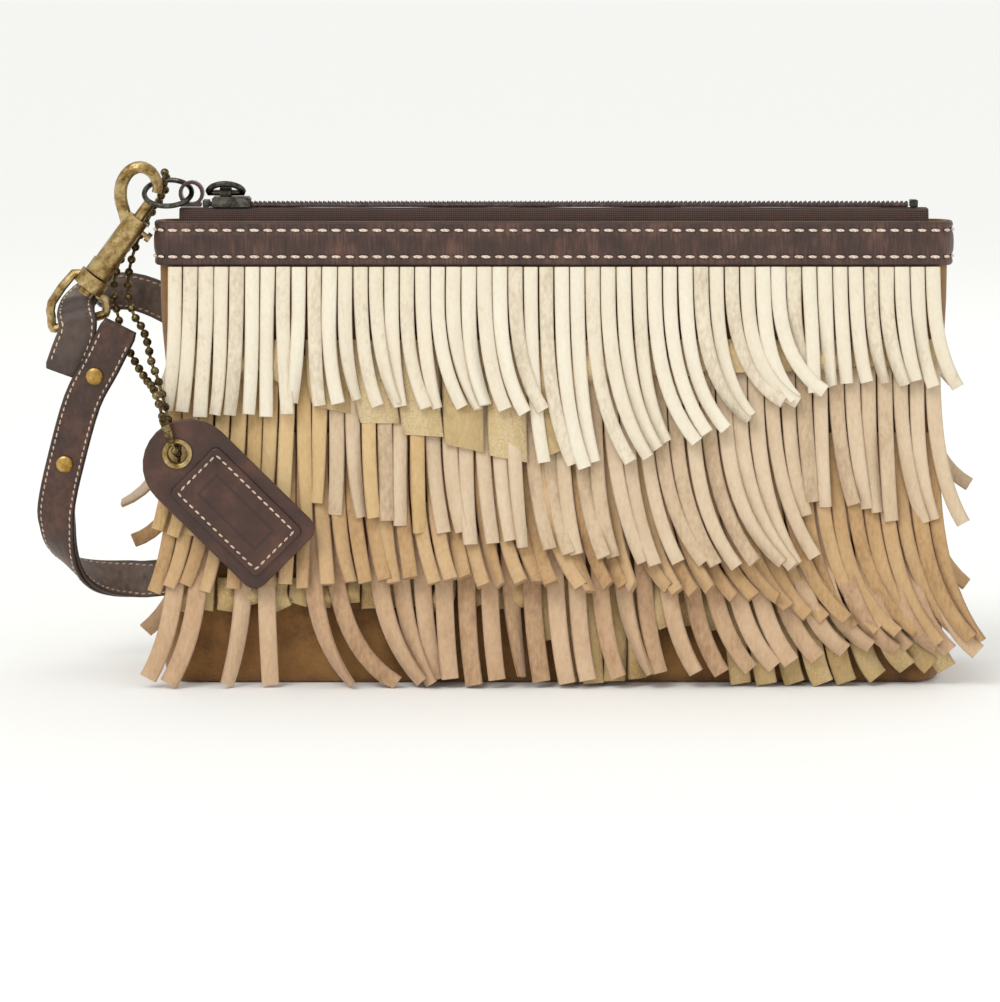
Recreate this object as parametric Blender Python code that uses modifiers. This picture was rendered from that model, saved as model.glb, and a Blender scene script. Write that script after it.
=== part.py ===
"""Fringed suede wristlet pouch with a zip mouth, a snap-hook wrist strap and a leather hang tag.

+X runs along the pouch, the face with the hang tag looks along -Y, +Z is up, and the origin is the
centre of the flat base. The dimensions below are in millimetres, and meshes are made in metres.
"""
import math

import bmesh
import bpy
from mathutils import Matrix, Vector

MM = 0.001
GAP = 0.3

# Pouch body
HALF_LENGTH = 103.4
TOP_HALF_DEPTH = 6.0
BASE_HALF_DEPTH = 16.0
BODY_HEIGHT = 109.0
MOUTH_Z = 120.7
SHELL_WALL = 1.2
LINING_WALL = 0.4
LINING_TOP_Z = 117.0
BASE_RADIUS = 3.0
BAND_BOTTOM_Z = 109.2
BAND_WALL = 1.3

# Zip
TAPE_HALF_LENGTH = 98.0
TAPE_THICKNESS = 0.5
TAPE_Z = 123.9
COIL_START_X = -89.9
COIL_END_X = 93.0
COIL_Z = (124.2, 125.8)
COIL_Y = (0.5, 2.0)
SLIDER_X = (-89.5, -79.5)
PULL_AXIS_Z = 127.9
PULL_CENTRE_X = -86.0
PULL_WIRE = 0.8
PULL_LEAN = 50.0

# Split ring and its leather tab
TAB_X = -95.0
RING_Z = 127.8
RING_RADIUS = 6.2
RING_WIRE = 0.7
RING_LEAN = 60.0

# Snap hook: its barrel leans down and to the left
BARREL_TOP = Vector((-109.0, 0.0, 121.2))
BARREL_LEAN = 36.6
BARREL_LENGTH = 15.9
BARREL_RADIUS = 3.15
BORE_RADIUS = 1.9
BOLT_RADIUS = 1.5
COLLAR_END = 18.5
CROWN = (18.9, 22.9)
POST_RADIUS = 1.35
EYE_WIRE = 1.2
BAR_CENTRE = Vector((-125.0, 0.0, 94.0))
BAR_HALF = 7.4
BAR_TILT = 15.6

# Strap
STRAP_WIDTH = 10.0
PLY = 0.95
RIVET_HEAD = 2.35
RIVET_SHANK = 0.9

# Hang tag
EYELET_CENTRE = Vector((-97.5, -23.5, 61.9))
TAG_WIDTH = 24.2
TAG_LENGTH = 47.8
TAG_THICKNESS = 1.8
EYELET_FROM_END = 7.8
PATCH_SIZE = (31.7, 17.6)
PATCH_FROM_END = 13.3
PATCH_THICKNESS = 0.8
BALL = 2.3

# Fringe tiers: heights of the top, the left hem and the right hem, then how far the top and the hem
# stand off the body
TIERS = (
    ("cream", 108.6, 73.0, 70.0, 0.5, 4.6),
    ("gold", 88.0, 60.0, 52.0, 1.0, 4.2),
    ("beige", 79.0, 42.0, 44.0, 0.5, 3.6),
    ("camel", 59.0, 26.0, 22.0, 0.5, 3.6),
    ("rose", 41.0, 6.0, 8.0, 0.5, 3.6),
    ("base_gold", 22.0, 3.0, 3.0, 0.5, 2.2),
)
FRINGE_THICKNESS = 0.9
FRINGE_HALF_TOP = 101.0
FRINGE_FLARE = 5.0

COLOURS = {
    "suede": (0.30, 0.17, 0.08, 0.85, 0.0),
    "lining": (0.25, 0.18, 0.12, 0.9, 0.0),
    "leather": (0.085, 0.035, 0.022, 0.5, 0.0),
    "tape": (0.06, 0.03, 0.022, 0.85, 0.0),
    "coil": (0.04, 0.02, 0.015, 0.4, 0.0),
    "brass": (0.42, 0.28, 0.12, 0.35, 1.0),
    "gunmetal": (0.05, 0.05, 0.045, 0.35, 1.0),
    "cream": (0.80, 0.72, 0.58, 0.9, 0.0),
    "gold": (0.66, 0.50, 0.28, 0.5, 0.3),
    "beige": (0.70, 0.52, 0.35, 0.9, 0.0),
    "camel": (0.60, 0.40, 0.20, 0.9, 0.0),
    "rose": (0.62, 0.42, 0.28, 0.9, 0.0),
    "base_gold": (0.62, 0.46, 0.25, 0.5, 0.3),
}


def material(name):
    """A plain Principled material in the piece's own colour."""
    red, green, blue, roughness, metallic = COLOURS[name]
    found = bpy.data.materials.new(name)
    found.use_nodes = True
    shader = found.node_tree.nodes["Principled BSDF"]
    shader.inputs["Base Color"].default_value = (red, green, blue, 1.0)
    shader.inputs["Roughness"].default_value = roughness
    shader.inputs["Metallic"].default_value = metallic
    return found


def new_collection(name):
    found = bpy.data.collections.new(name)
    bpy.context.scene.collection.children.link(found)
    return found


for old in list(bpy.data.objects):
    bpy.data.objects.remove(old, do_unlink=True)
PARTS = new_collection("fringed_suede_pouch")
CUTTERS = new_collection("cutters")


def add_object(name, data, finish, cutter=False):
    """Link an object in its collection; a cutter is only drawn as wires."""
    obj = bpy.data.objects.new(name, data)
    (CUTTERS if cutter else PARTS).objects.link(obj)
    if cutter:
        obj.hide_render = True
        obj.display_type = "WIRE"
    else:
        data.materials.append(material(finish))
    return obj


def add_bmesh(name, bm, finish=None, cutter=False):
    """Turn a millimetre bmesh into a metre object with outward faces."""
    bmesh.ops.scale(bm, vec=(MM, MM, MM), verts=bm.verts)
    mesh = bpy.data.meshes.new(name)
    bm.to_mesh(mesh)
    bm.free()
    return add_object(name, mesh, finish, cutter)


def between(start, end):
    """Matrix whose Z runs from start to end, with its origin half way."""
    start, end = Vector(start), Vector(end)
    turn = (end - start).to_track_quat("Z", "Y").to_matrix().to_4x4()
    return Matrix.Translation((start + end) / 2) @ turn


def rod(name, start, end, radius, finish=None, cutter=False, sides=20):
    """A closed cylinder from start to end."""
    bm = bmesh.new()
    length = (Vector(end) - Vector(start)).length
    bmesh.ops.create_cone(
        bm, cap_ends=True, segments=sides, radius1=radius, radius2=radius, depth=length,
        matrix=between(start, end),
    )
    return add_bmesh(name, bm, finish, cutter)


def block(name, low, high, finish=None, cutter=False, turn=None, bevel=0.0):
    """A box between two corners, turned about its own centre if asked."""
    low, high = Vector(low), Vector(high)
    size = high - low
    place = Matrix.Translation((low + high) / 2)
    if turn is not None:
        place = place @ turn
    bm = bmesh.new()
    bmesh.ops.create_cube(bm, size=1.0, matrix=place @ Matrix.Diagonal((*size, 1.0)))
    if bevel:
        bmesh.ops.bevel(bm, geom=bm.edges[:], offset=bevel, segments=2, affect="EDGES")
    return add_bmesh(name, bm, finish, cutter)


def tube(name, points, radii, finish=None, cutter=False, closed=False, resolution=2):
    """A round wire through the points, as a welded mesh."""
    curve = bpy.data.curves.new(name, "CURVE")
    curve.dimensions = "3D"
    curve.bevel_depth = MM
    curve.bevel_resolution = resolution
    curve.use_fill_caps = True
    spline = curve.splines.new("POLY")
    spline.points.add(len(points) - 1)
    for point, place, radius in zip(spline.points, points, radii):
        point.co = (*(Vector(place) * MM), 1.0)
        point.radius = radius
    spline.use_cyclic_u = closed
    return curve_to_mesh(name, curve, finish, cutter)


def curve_to_mesh(name, curve, finish, cutter):
    """Replace a curve with its own mesh, with its caps welded on."""
    source = bpy.data.objects.new(name + "_curve", curve)
    bpy.context.scene.collection.objects.link(source)
    bpy.context.view_layer.update()
    evaluated = source.evaluated_get(bpy.context.evaluated_depsgraph_get())
    mesh = bpy.data.meshes.new_from_object(evaluated)
    mesh.materials.clear()
    mesh.transform(source.matrix_world)
    bm = bmesh.new()
    bm.from_mesh(mesh)
    bmesh.ops.remove_doubles(bm, verts=bm.verts, dist=1e-6)
    bmesh.ops.recalc_face_normals(bm, faces=bm.faces)
    bm.to_mesh(mesh)
    bm.free()
    bpy.data.objects.remove(source)
    return add_object(name, mesh, finish, cutter)


def plate(name, outlines, thickness, place, finish=None, cutter=False):
    """Flat outlines, the later ones holes, extruded to a plate and put in place."""
    curve = bpy.data.curves.new(name, "CURVE")
    curve.dimensions = "2D"
    curve.fill_mode = "BOTH"
    curve.extrude = thickness * MM / 2
    for outline in outlines:
        spline = curve.splines.new("POLY")
        spline.points.add(len(outline) - 1)
        for point, (x, y) in zip(spline.points, outline):
            point.co = (x * MM, y * MM, 0.0, 1.0)
        spline.use_cyclic_u = True
    obj = curve_to_mesh(name, curve, finish, cutter)
    place = place.copy()
    place.translation *= MM
    obj.data.transform(place)
    if place.determinant() < 0:
        obj.data.flip_normals()
    return obj


def combine(target, tool, operation="DIFFERENCE"):
    """Apply an exact Boolean; a joined piece is used up, a cutter is kept."""
    modifier = target.modifiers.new("cut", "BOOLEAN")
    modifier.operation = operation
    modifier.solver = "EXACT"
    modifier.object = tool
    bpy.context.view_layer.update()
    evaluated = target.evaluated_get(bpy.context.evaluated_depsgraph_get())
    mesh = bpy.data.meshes.new_from_object(evaluated)
    target.modifiers.clear()
    target.data = mesh
    bm = bmesh.new()
    bm.from_mesh(mesh)
    bmesh.ops.remove_doubles(bm, verts=bm.verts, dist=1e-6)
    bmesh.ops.dissolve_degenerate(bm, edges=bm.edges, dist=1e-6)
    bm.to_mesh(mesh)
    bm.free()
    if operation == "UNION":
        bpy.data.objects.remove(tool, do_unlink=True)
    return target


def arc(centre, radius, start, end, count):
    """Points on an arc, angles in degrees."""
    turns = (math.radians(start + (end - start) * i / count) for i in range(count + 1))
    return [(centre[0] + radius * math.cos(a), centre[1] + radius * math.sin(a)) for a in turns]


def smooth_path(points, per_span):
    """Points along a Catmull-Rom curve through hand-placed points of any size."""
    padded = [points[0], *points, points[-1]]
    out = []
    for i in range(1, len(padded) - 2):
        p0, p1, p2, p3 = padded[i - 1:i + 3]
        for j in range(per_span):
            t = j / per_span
            out.append(tuple(
                0.5 * (2 * b + (c - a) * t + (2 * a - 5 * b + 4 * c - d) * t * t
                       + (3 * b - a - 3 * c + d) * t ** 3)
                for a, b, c, d in zip(p0, p1, p2, p3)
            ))
    out.append(tuple(points[-1]))
    return out


def slab(name, near, far, finish):
    """A closed solid between two grids of the same size, near facing out."""
    bm = bmesh.new()
    grids = [[[bm.verts.new(p) for p in row] for row in grid] for grid in (near, far)]
    rows, columns = len(near), len(near[0])
    edge = [(i, 0) for i in range(rows)] + [(rows - 1, j) for j in range(1, columns)]
    edge += [(i, columns - 1) for i in range(rows - 2, -1, -1)]
    edge += [(0, j) for j in range(columns - 2, 0, -1)]
    for grid in grids:
        for i in range(rows - 1):
            for j in range(columns - 1):
                bm.faces.new((grid[i][j], grid[i][j + 1], grid[i + 1][j + 1], grid[i + 1][j]))
    for (i, j), (k, m) in zip(edge, edge[1:] + edge[:1]):
        bm.faces.new((grids[0][i][j], grids[0][k][m], grids[1][k][m], grids[1][i][j]))
    bmesh.ops.recalc_face_normals(bm, faces=bm.faces)
    return add_bmesh(name, bm, finish)


# ---------------------------------------------------------------- pouch body

def half_depth(z):
    """Half the body's depth at a height: it swells from the mouth to the base."""
    share = max(0.0, min(1.0, 1.0 - z / BODY_HEIGHT))
    return TOP_HALF_DEPTH + (BASE_HALF_DEPTH - TOP_HALF_DEPTH) * math.sin(share * math.pi / 2)


def plan_half(z, grow, side, count=6, seam=0.0):
    """Front (side -1) or back (side 1) half of the body's plan outline, left to right."""
    depth = half_depth(z) + grow
    length = HALF_LENGTH + grow
    cap = min(5.0 + 0.25 * (depth - TOP_HALF_DEPTH), depth)
    points = []
    for i in range(count + 1):
        a = math.pi / 2 * i / count
        points.append((-(length - cap) - cap * math.cos(a), side * (seam + (depth - seam) * math.sin(a)), z))
    return points + [(-x, y, z) for x, y, z in reversed(points)]


def body_shell(name, heights, grow, wall, finish):
    """An open-topped shell lofted through plan outlines, its wall inside the outline."""
    bm = bmesh.new()
    rings = []
    for z, inset in heights:
        front = plan_half(z, grow - inset, -1)
        back = plan_half(z, grow - inset, 1)
        rings.append([bm.verts.new(p) for p in front + back[::-1][1:-1]])
    count = len(rings[0])
    for low, high in zip(rings, rings[1:]):
        for i in range(count):
            j = (i + 1) % count
            bm.faces.new((low[i], low[j], high[j], high[i]))
    bm.faces.new(rings[0][::-1])
    obj = add_bmesh(name, bm, finish)
    solidify = obj.modifiers.new("wall", "SOLIDIFY")
    solidify.thickness = wall * MM
    solidify.offset = -1.0
    solidify.use_even_offset = True
    return obj


def make_body():
    rise = ((0.0, BASE_RADIUS), (0.9, 0.9), (BASE_RADIUS, 0.0))
    sides = (18.0, 36.0, 54.0, 72.0, 90.0, BODY_HEIGHT)
    outer = rise + tuple((z, 0.0) for z in sides) + ((MOUTH_Z, 0.0),)
    body_shell("pouch_shell", outer, 0.0, SHELL_WALL, "suede")
    step = SHELL_WALL + GAP
    inner = tuple((z + step, inset) for z, inset in rise)
    inner += tuple((z, 0.0) for z in sides) + ((LINING_TOP_Z, 0.0),)
    body_shell("lining", inner, -step, LINING_WALL, "lining")
    for side, name in ((-1, "front"), (1, "back")):
        near = [plan_half(z, GAP + BAND_WALL, side, 6, GAP) for z in (BAND_BOTTOM_Z, MOUTH_Z)]
        far = [plan_half(z, GAP, side, 6, GAP) for z in (BAND_BOTTOM_Z, MOUTH_Z)]
        slab("band_" + name, near, far, "leather")


# ---------------------------------------------------------------- fringe

def fringe_grid(side, tier, lift, columns=14, rows=3):
    """Points over one fringe tier, hanging clear of the body; only the tag's corner doesn't flare."""
    _, top, hem_left, hem_right, top_stand, hem_stand = tier
    grid = []
    for i in range(rows + 1):
        down = i / rows
        row = []
        for j in range(columns + 1):
            across = 2 * j / columns - 1
            hem = hem_left + (hem_right - hem_left) * (across + 1) / 2
            z = top + (hem - top) * down
            flare = 0.0 if side < 0 and across < 0 else FRINGE_FLARE
            x = across * (FRINGE_HALF_TOP + flare * down)
            stand = top_stand + (hem_stand - top_stand) * down
            row.append((x, side * (half_depth(z) + stand + lift), z))
        grid.append(row)
    return grid


def make_fringe():
    for side, face in ((-1, "front"), (1, "back")):
        for number, tier in enumerate(TIERS, 1):
            near = fringe_grid(side, tier, FRINGE_THICKNESS)
            slab("fringe_%s_%d" % (face, number), near, fringe_grid(side, tier, 0.0), tier[0])


# ---------------------------------------------------------------- zip

def extrude_along_x(name, outline, start, end, finish, cutter=False):
    """A (y, z) outline extruded from one X to another."""
    place = Matrix(((0, 0, 1, (start + end) / 2), (1, 0, 0, 0), (0, 1, 0, 0), (0, 0, 0, 1)))
    return plate(name, [outline], end - start, place, finish, cutter)


def make_zip():
    low = TAPE_Z - TAPE_THICKNESS
    for side, face in ((-1, "front"), (1, "back")):
        tape = ((0.5, TAPE_Z), (3.5, TAPE_Z), (4.5, 118.6), (4.0, 118.5), (3.1, low), (0.5, low))
        outline = [(side * y, z) for y, z in tape]
        extrude_along_x("zip_tape_" + face, outline, -TAPE_HALF_LENGTH, TAPE_HALF_LENGTH, "tape")
        near, far = sorted((side * COIL_Y[0], side * COIL_Y[1]))
        block("zip_coil_" + face, (COIL_START_X, near, COIL_Z[0]), (COIL_END_X, far, COIL_Z[1]), "coil")
        block("top_stop_" + face, (-92.0, near, COIL_Z[0]), (-90.2, far, COIL_Z[1] + 0.3), "gunmetal")
    block("bottom_stop", (93.4, -2.1, COIL_Z[0]), (95.4, 2.1, COIL_Z[1] + 0.3), "gunmetal")


def make_slider():
    left, right = SLIDER_X
    slider = block("slider", (left, -3.4, 122.2), (right, 3.4, 126.9), "gunmetal", bevel=0.4)
    for side in (-1, 1):
        near, far = sorted((side * 0.25, side * 2.5))
        cut = block("coil_channel", (left - 1, near, 123.0), (right + 1, far, 126.2), cutter=True)
        combine(slider, cut)
        near, far = sorted((side * 2.4, side * 4.5))
        cut = block("tape_slot", (left - 1, near, 121.0), (right + 1, far, 124.3), cutter=True)
        combine(slider, cut)
    centre = (0.0, PULL_AXIS_Z)
    lug = [arc(centre, 2.0, 0, 330, 11), arc(centre, 1.2, 0, 330, 11)]
    place = Matrix(((0, 0, 1, PULL_CENTRE_X), (1, 0, 0, 0), (0, 1, 0, 0), (0, 0, 0, 1)))
    combine(slider, plate("lug", lug, 3.0, place, "gunmetal"), "UNION")

    lean = math.radians(PULL_LEAN)
    up = Vector((0.0, -math.sin(lean), math.cos(lean)))
    wire = [(4.6 * math.cos(a), 3.8 * math.sin(a)) for a in (math.pi * i / 12 for i in range(13))]
    centre = Vector((PULL_CENTRE_X, 0.0, PULL_AXIS_Z))
    points = [centre + Vector((x, 0, 0)) + up * y for x, y in wire]
    tube("pull", points, [PULL_WIRE] * len(points), "gunmetal", closed=True)


# ---------------------------------------------------------------- ring, hook and eye

def make_ring():
    lean = math.radians(RING_LEAN)
    across = Vector((0.0, math.sin(lean), math.cos(lean)))
    centre = Vector((TAB_X - RING_RADIUS, 0.0, RING_Z))
    count = 28
    points = []
    for i in range(count):
        a = 2 * math.pi * i / count
        points.append(centre + RING_RADIUS * (Vector((math.cos(a), 0, 0)) + across * math.sin(a)))
    tube("hook_ring", points, [RING_WIRE] * count, "gunmetal", closed=True)

    loop = arc((TAB_X, RING_Z), 3.3, -48, 228, 14)
    outline = loop + [(TAB_X - 3.4, 125.4), (TAB_X - 3.4, 124.3), (TAB_X + 2.6, 124.3), (TAB_X + 2.6, 125.2)]
    hole = arc((TAB_X, RING_Z), 2.45, 0, 337.5, 15)
    upright = Matrix(((1, 0, 0, 0), (0, 0, 1, 0), (0, 1, 0, 0), (0, 0, 0, 1)))
    plate("ring_tab", [outline, hole], 4.4, upright, "leather")


LEAN = math.radians(BARREL_LEAN)
DOWN = Vector((-math.sin(LEAN), 0.0, -math.cos(LEAN)))
SIDEWAYS = Vector((math.cos(LEAN), 0.0, -math.sin(LEAN)))


def along(distance, aside=0.0):
    """A point on the barrel's axis, measured down from its top, and moved sideways."""
    return BARREL_TOP + DOWN * distance + SIDEWAYS * aside


def make_hook():
    limb = (
        (-111.9, 118.6, 1.6), (-112.6, 122.3, 1.65), (-113.6, 126.2, 1.7), (-113.3, 130.2, 1.7),
        (-111.3, 133.4, 1.65), (-108.3, 134.6, 1.6), (-105.4, 133.2, 1.5), (-103.9, 130.2, 1.4),
        (-104.2, 127.8, 1.25),
    )
    path = smooth_path(limb, 3)
    hook = tube("snap_hook", [(x, 0, z) for x, z, _ in path], [r for _, _, r in path], "brass")
    combine(hook, rod("barrel", along(0), along(BARREL_LENGTH), BARREL_RADIUS, "brass"), "UNION")
    combine(hook, rod("collar", along(BARREL_LENGTH - 1), along(COLLAR_END), 3.5, "brass"), "UNION")
    combine(hook, rod("post", along(COLLAR_END - 1), along(24), POST_RADIUS, "brass"), "UNION")
    combine(hook, rod("head", along(CROWN[1] + 0.4), along(24.7), 2.2, "brass"), "UNION")
    combine(hook, rod("bore", along(-6.2), along(14.6), BORE_RADIUS, cutter=True))
    turn = Matrix.Rotation(LEAN, 4, "Y")
    middle = along(5.4, 3.0)
    half = Vector((3.0, 0.95, 4.6))
    combine(hook, block("thumb_slot", middle - half, middle + half, cutter=True, turn=turn))

    bolt = rod("bolt", along(-5.0), along(6.0), BOLT_RADIUS, "brass", sides=16)
    knob = rod("knob", along(2.6, 0.5), along(2.6, 5.2), 0.65, "brass", sides=12)
    combine(bolt, knob, "UNION")
    combine(bolt, rod("knob_head", along(2.6, 4.4), along(2.6, 5.6), 1.3, "brass", sides=14), "UNION")

    turns, steps = 6, 10
    points = []
    for i in range(turns * steps + 1):
        a = 2 * math.pi * i / steps
        side = SIDEWAYS * math.cos(a) + Vector((0, 1, 0)) * math.sin(a)
        points.append(along(6.6 + 7.4 * i / (turns * steps)) + side * 1.25)
    tube("bolt_spring", points, [0.25] * len(points), "gunmetal", resolution=1)


def bar_point(share, lift=0.0):
    """A point on the eye's bar, share from -1 (left) to 1 (right)."""
    tilt = math.radians(BAR_TILT)
    return BAR_CENTRE + Vector((math.cos(tilt), 0, math.sin(tilt))) * BAR_HALF * share + Vector((0, 0, lift))


def make_eye():
    corner = (
        along(20.9, -2.2), along(21.6, -5.4) + Vector((0, 0, -0.4)), bar_point(-1.0, 7.0),
        bar_point(-1.02, 3.2), bar_point(-1.0, 0.6), bar_point(-0.88, -0.1), bar_point(-0.4),
        bar_point(0.4), bar_point(0.88, 0.0), bar_point(1.0, 0.7), bar_point(0.98, 3.6),
        along(22.8, 3.6), along(20.9, 2.2),
    )
    path = smooth_path([tuple(p) for p in corner], 2)
    eye = tube("swivel_eye", path, [EYE_WIRE] * len(path), "brass")
    combine(eye, rod("crown", along(CROWN[0]), along(CROWN[1]), 4.3, "brass"), "UNION")
    combine(eye, rod("post_hole", along(CROWN[0] - 2), along(CROWN[1] + 2.5), POST_RADIUS + 0.4, cutter=True))


# ---------------------------------------------------------------- strap

STRAP_STEPS = 3
WRAP_RADIUS = 10.5
WRAP_START = Vector((-132.0, 2.0, 45.0))


def diagonal_wrap(count):
    """The strap rolls over itself on a slanting line, from hanging down to running along +X."""
    slant = Vector((1, 0, -1)).normalized()
    first = Vector((-1, 0, -1)).normalized()
    back = Vector((0, 1, 0))
    rows = []
    for i in range(count + 1):
        a = math.pi * i / count
        turned = first * math.cos(a) + back * math.sin(a)
        place = (WRAP_START + slant * WRAP_RADIUS * a
                 + WRAP_RADIUS * (first * math.sin(a) + back * (1 - math.cos(a))))
        rows.append((*place, *((slant - turned) / math.sqrt(2))))
    return rows


def strap_rows():
    """Rows of centre line and width direction, from the front end round to the tail."""
    front = (
        (-113.4, -6.6, 93.5, 0.86, 0, -0.50), (-118.5, -5.9, 83.5, 0.88, 0, -0.47),
        (-124.1, -3.7, 73.2, 0.91, 0, -0.41), (-129.2, -0.4, 56.5, 0.98, 0, -0.20),
    )
    rear = (
        (-96.0, 26.5, 23.2, 0.10, 0, -1.0), (-83.0, 28.6, 29.5, 0.62, 0, -0.78),
        (-75.5, 29.0, 42.0, 0.95, 0, -0.30), (-75.0, 28.0, 57.0, 1.0, 0, 0.15),
        (-80.5, 26.0, 72.0, 0.90, 0, 0.43), (-89.5, 22.5, 85.5, 0.76, 0, 0.65),
        (-100.0, 18.0, 95.0, 0.55, 0, 0.83), (-110.0, 13.6, 100.3, 0.18, 0, 0.98),
        (-118.0, 11.6, 101.0, -0.60, 0, 0.80), (-122.4, 8.8, 100.6, -0.90, 0, 0.35),
        (-124.9, 5.4, 99.7, -0.96, 0, -0.15), (-125.8, 1.8, 97.9, -0.96, 0, -0.27),
    )
    tilt = math.radians(BAR_TILT)
    width = (-math.cos(tilt), 0.0, -math.sin(tilt))
    bend = EYE_WIRE + 2 * GAP + PLY + 0.3
    up = Vector((-math.sin(tilt), 0.0, math.cos(tilt)))
    loop = []
    for i in range(4):
        a = math.radians(120 + 20 * i)
        loop.append((*(BAR_CENTRE + Vector((0, bend * math.cos(a), 0)) + up * bend * math.sin(a)), *width))
    tail = ((-125.4, -3.1, 90.6, *width), (-126.9, -3.0, 87.0, -0.97, 0, -0.1), (-129.3, -2.9, 80.5, -0.95, 0, 0.3))
    return smooth_path([*front, *diagonal_wrap(8), *rear, *loop, *tail], STRAP_STEPS)


def strap_frame(rows, i):
    """Centre, width direction and outward normal at one row of the strap."""
    place, width = Vector(rows[i][:3]), Vector(rows[i][3:]).normalized()
    run = Vector(rows[min(i + 1, len(rows) - 1)][:3]) - Vector(rows[max(i - 1, 0)][:3])
    normal = run.cross(width).normalized()
    return place, normal.cross(run).normalized(), normal


def ribbon(name, rows, near, far, finish):
    """A strip of leather between two offsets from the centre line."""
    grids = ([], [])
    for i in range(len(rows)):
        place, width, normal = strap_frame(rows, i)
        for grid, offset in zip(grids, (near, far)):
            centre = place + normal * offset
            grid.append([centre + width * STRAP_WIDTH / 2 * side for side in (-1, 0, 1)])
    return slab(name, grids[0], grids[1], finish)


def make_strap():
    rows = strap_rows()
    half = GAP
    outer = ribbon("strap_outer", rows, half + PLY, half, "leather")
    lining = ribbon("strap_lining", rows, -half, -half - PLY, "leather")
    for name, row in (("rivet_upper", STRAP_STEPS + 1), ("rivet_lower", 3 * STRAP_STEPS)):
        centre, _, out = strap_frame(rows, row)
        for ply in (outer, lining):
            cut = rod("rivet_hole", centre - out * 2.4, centre + out * 2.4, RIVET_SHANK + GAP, cutter=True, sides=12)
            combine(ply, cut)
        rivet = rod(name, centre - out * 1.8, centre + out * 1.6, RIVET_SHANK, "brass", sides=12)
        head = rod("head", centre + out * 1.45, centre + out * 2.3, RIVET_HEAD, "brass", sides=16)
        combine(rivet, head, "UNION")
        burr = rod("burr", centre - out * 2.2, centre - out * 1.45, 1.8, "brass", sides=16)
        combine(rivet, burr, "UNION")


# ---------------------------------------------------------------- hang tag and chain

def tag_place(depth):
    """Frame with X along the tag, at the eyelet, Z towards the front."""
    long = Vector((1, 0, -1)).normalized()
    out = Vector((0, -1, 0))
    side = out.cross(long)
    place = Matrix((long, side, out)).transposed().to_4x4()
    place.translation = EYELET_CENTRE + out * depth
    return place


def make_tag():
    half = TAG_WIDTH / 2
    start = half - EYELET_FROM_END
    end = TAG_LENGTH - EYELET_FROM_END
    outline = arc((start, 0), half, 90, 270, 14)
    outline += arc((end - 3.5, -half + 3.5), 3.5, -90, 0, 4) + arc((end - 3.5, half - 3.5), 3.5, 0, 90, 4)
    plate("tag_board", [outline, arc((0, 0), 3.15, 0, 345, 23)], TAG_THICKNESS, tag_place(0), "leather")
    length, width = PATCH_SIZE
    low = PATCH_FROM_END - EYELET_FROM_END
    corners = ((low, -width / 2), (low + length, -width / 2), (low + length, width / 2), (low, width / 2))
    depth = TAG_THICKNESS / 2 + GAP + PATCH_THICKNESS / 2
    plate("tag_patch", [corners], PATCH_THICKNESS, tag_place(depth), "leather")

    profile = (
        (4.0, 1.55), (4.0, 1.2), (2.85, 1.2), (2.85, -1.2), (4.0, -1.2), (4.0, -1.55), (2.4, -1.55), (2.4, 1.55),
    )
    bm = bmesh.new()
    verts = [bm.verts.new((r, 0, z)) for r, z in profile]
    for a, b in zip(verts, verts[1:] + verts[:1]):
        bm.edges.new((a, b))
    eyelet = add_bmesh("eyelet", bm, "brass")
    spin = eyelet.modifiers.new("turn", "SCREW")
    spin.steps = spin.render_steps = 24
    spin.use_merge_vertices = True
    spin.merge_threshold = 0.00001
    place = tag_place(0)
    place.translation *= MM
    eyelet.matrix_world = place


CHAIN_ROUTE = (
    (-98.9, -27.0, 65.9), (-98.4, -26.9, 64.4), (-97.8, -25.9, 62.7), (-97.5, -23.5, 61.9), (-97.8, -21.0, 62.8),
    (-99.4, -19.7, 66.8), (-101.2, -18.6, 74.6), (-102.9, -16.6, 80.3), (-104.9, -13.0, 84.6),
    (-106.2, -8.6, 88.8), (-108.0, -3.6, 92.4), (-110.8, 0.8, 96.0), (-112.4, 4.2, 101.5), (-112.0, 5.6, 108.0),
    (-109.6, 6.0, 115.5), (-106.0, 7.0, 122.5), (-102.8, 7.4, 127.6), (-102.3, 7.6, 131.2),
    (-102.4, 5.4, 133.1), (-102.5, 3.1, 131.0), (-103.2, 3.3, 127.0), (-107.3, 4.7, 121.8),
    (-111.6, 5.4, 115.0), (-115.4, 5.6, 107.6), (-116.3, 4.9, 101.0), (-115.0, 2.4, 95.2),
    (-113.4, -0.7, 89.7), (-111.2, -3.4, 85.8), (-108.6, -8.4, 82.4), (-106.2, -13.4, 79.9),
    (-104.2, -18.6, 78.6), (-102.8, -23.4, 77.0), (-101.8, -26.4, 74.8), (-101.0, -27.0, 72.0),
)


def make_chain():
    route = [Vector(p) for p in smooth_path(CHAIN_ROUTE, 2)]
    tube("ball_chain", route, [BALL / 2] * len(route), "brass", resolution=2)
    low, high = route[0], route[-1]
    run = (high - low).normalized()
    rod("chain_connector", low + run * GAP, high - run * GAP, 1.25, "brass", sides=12)


# ---------------------------------------------------------------- joint frames

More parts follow.
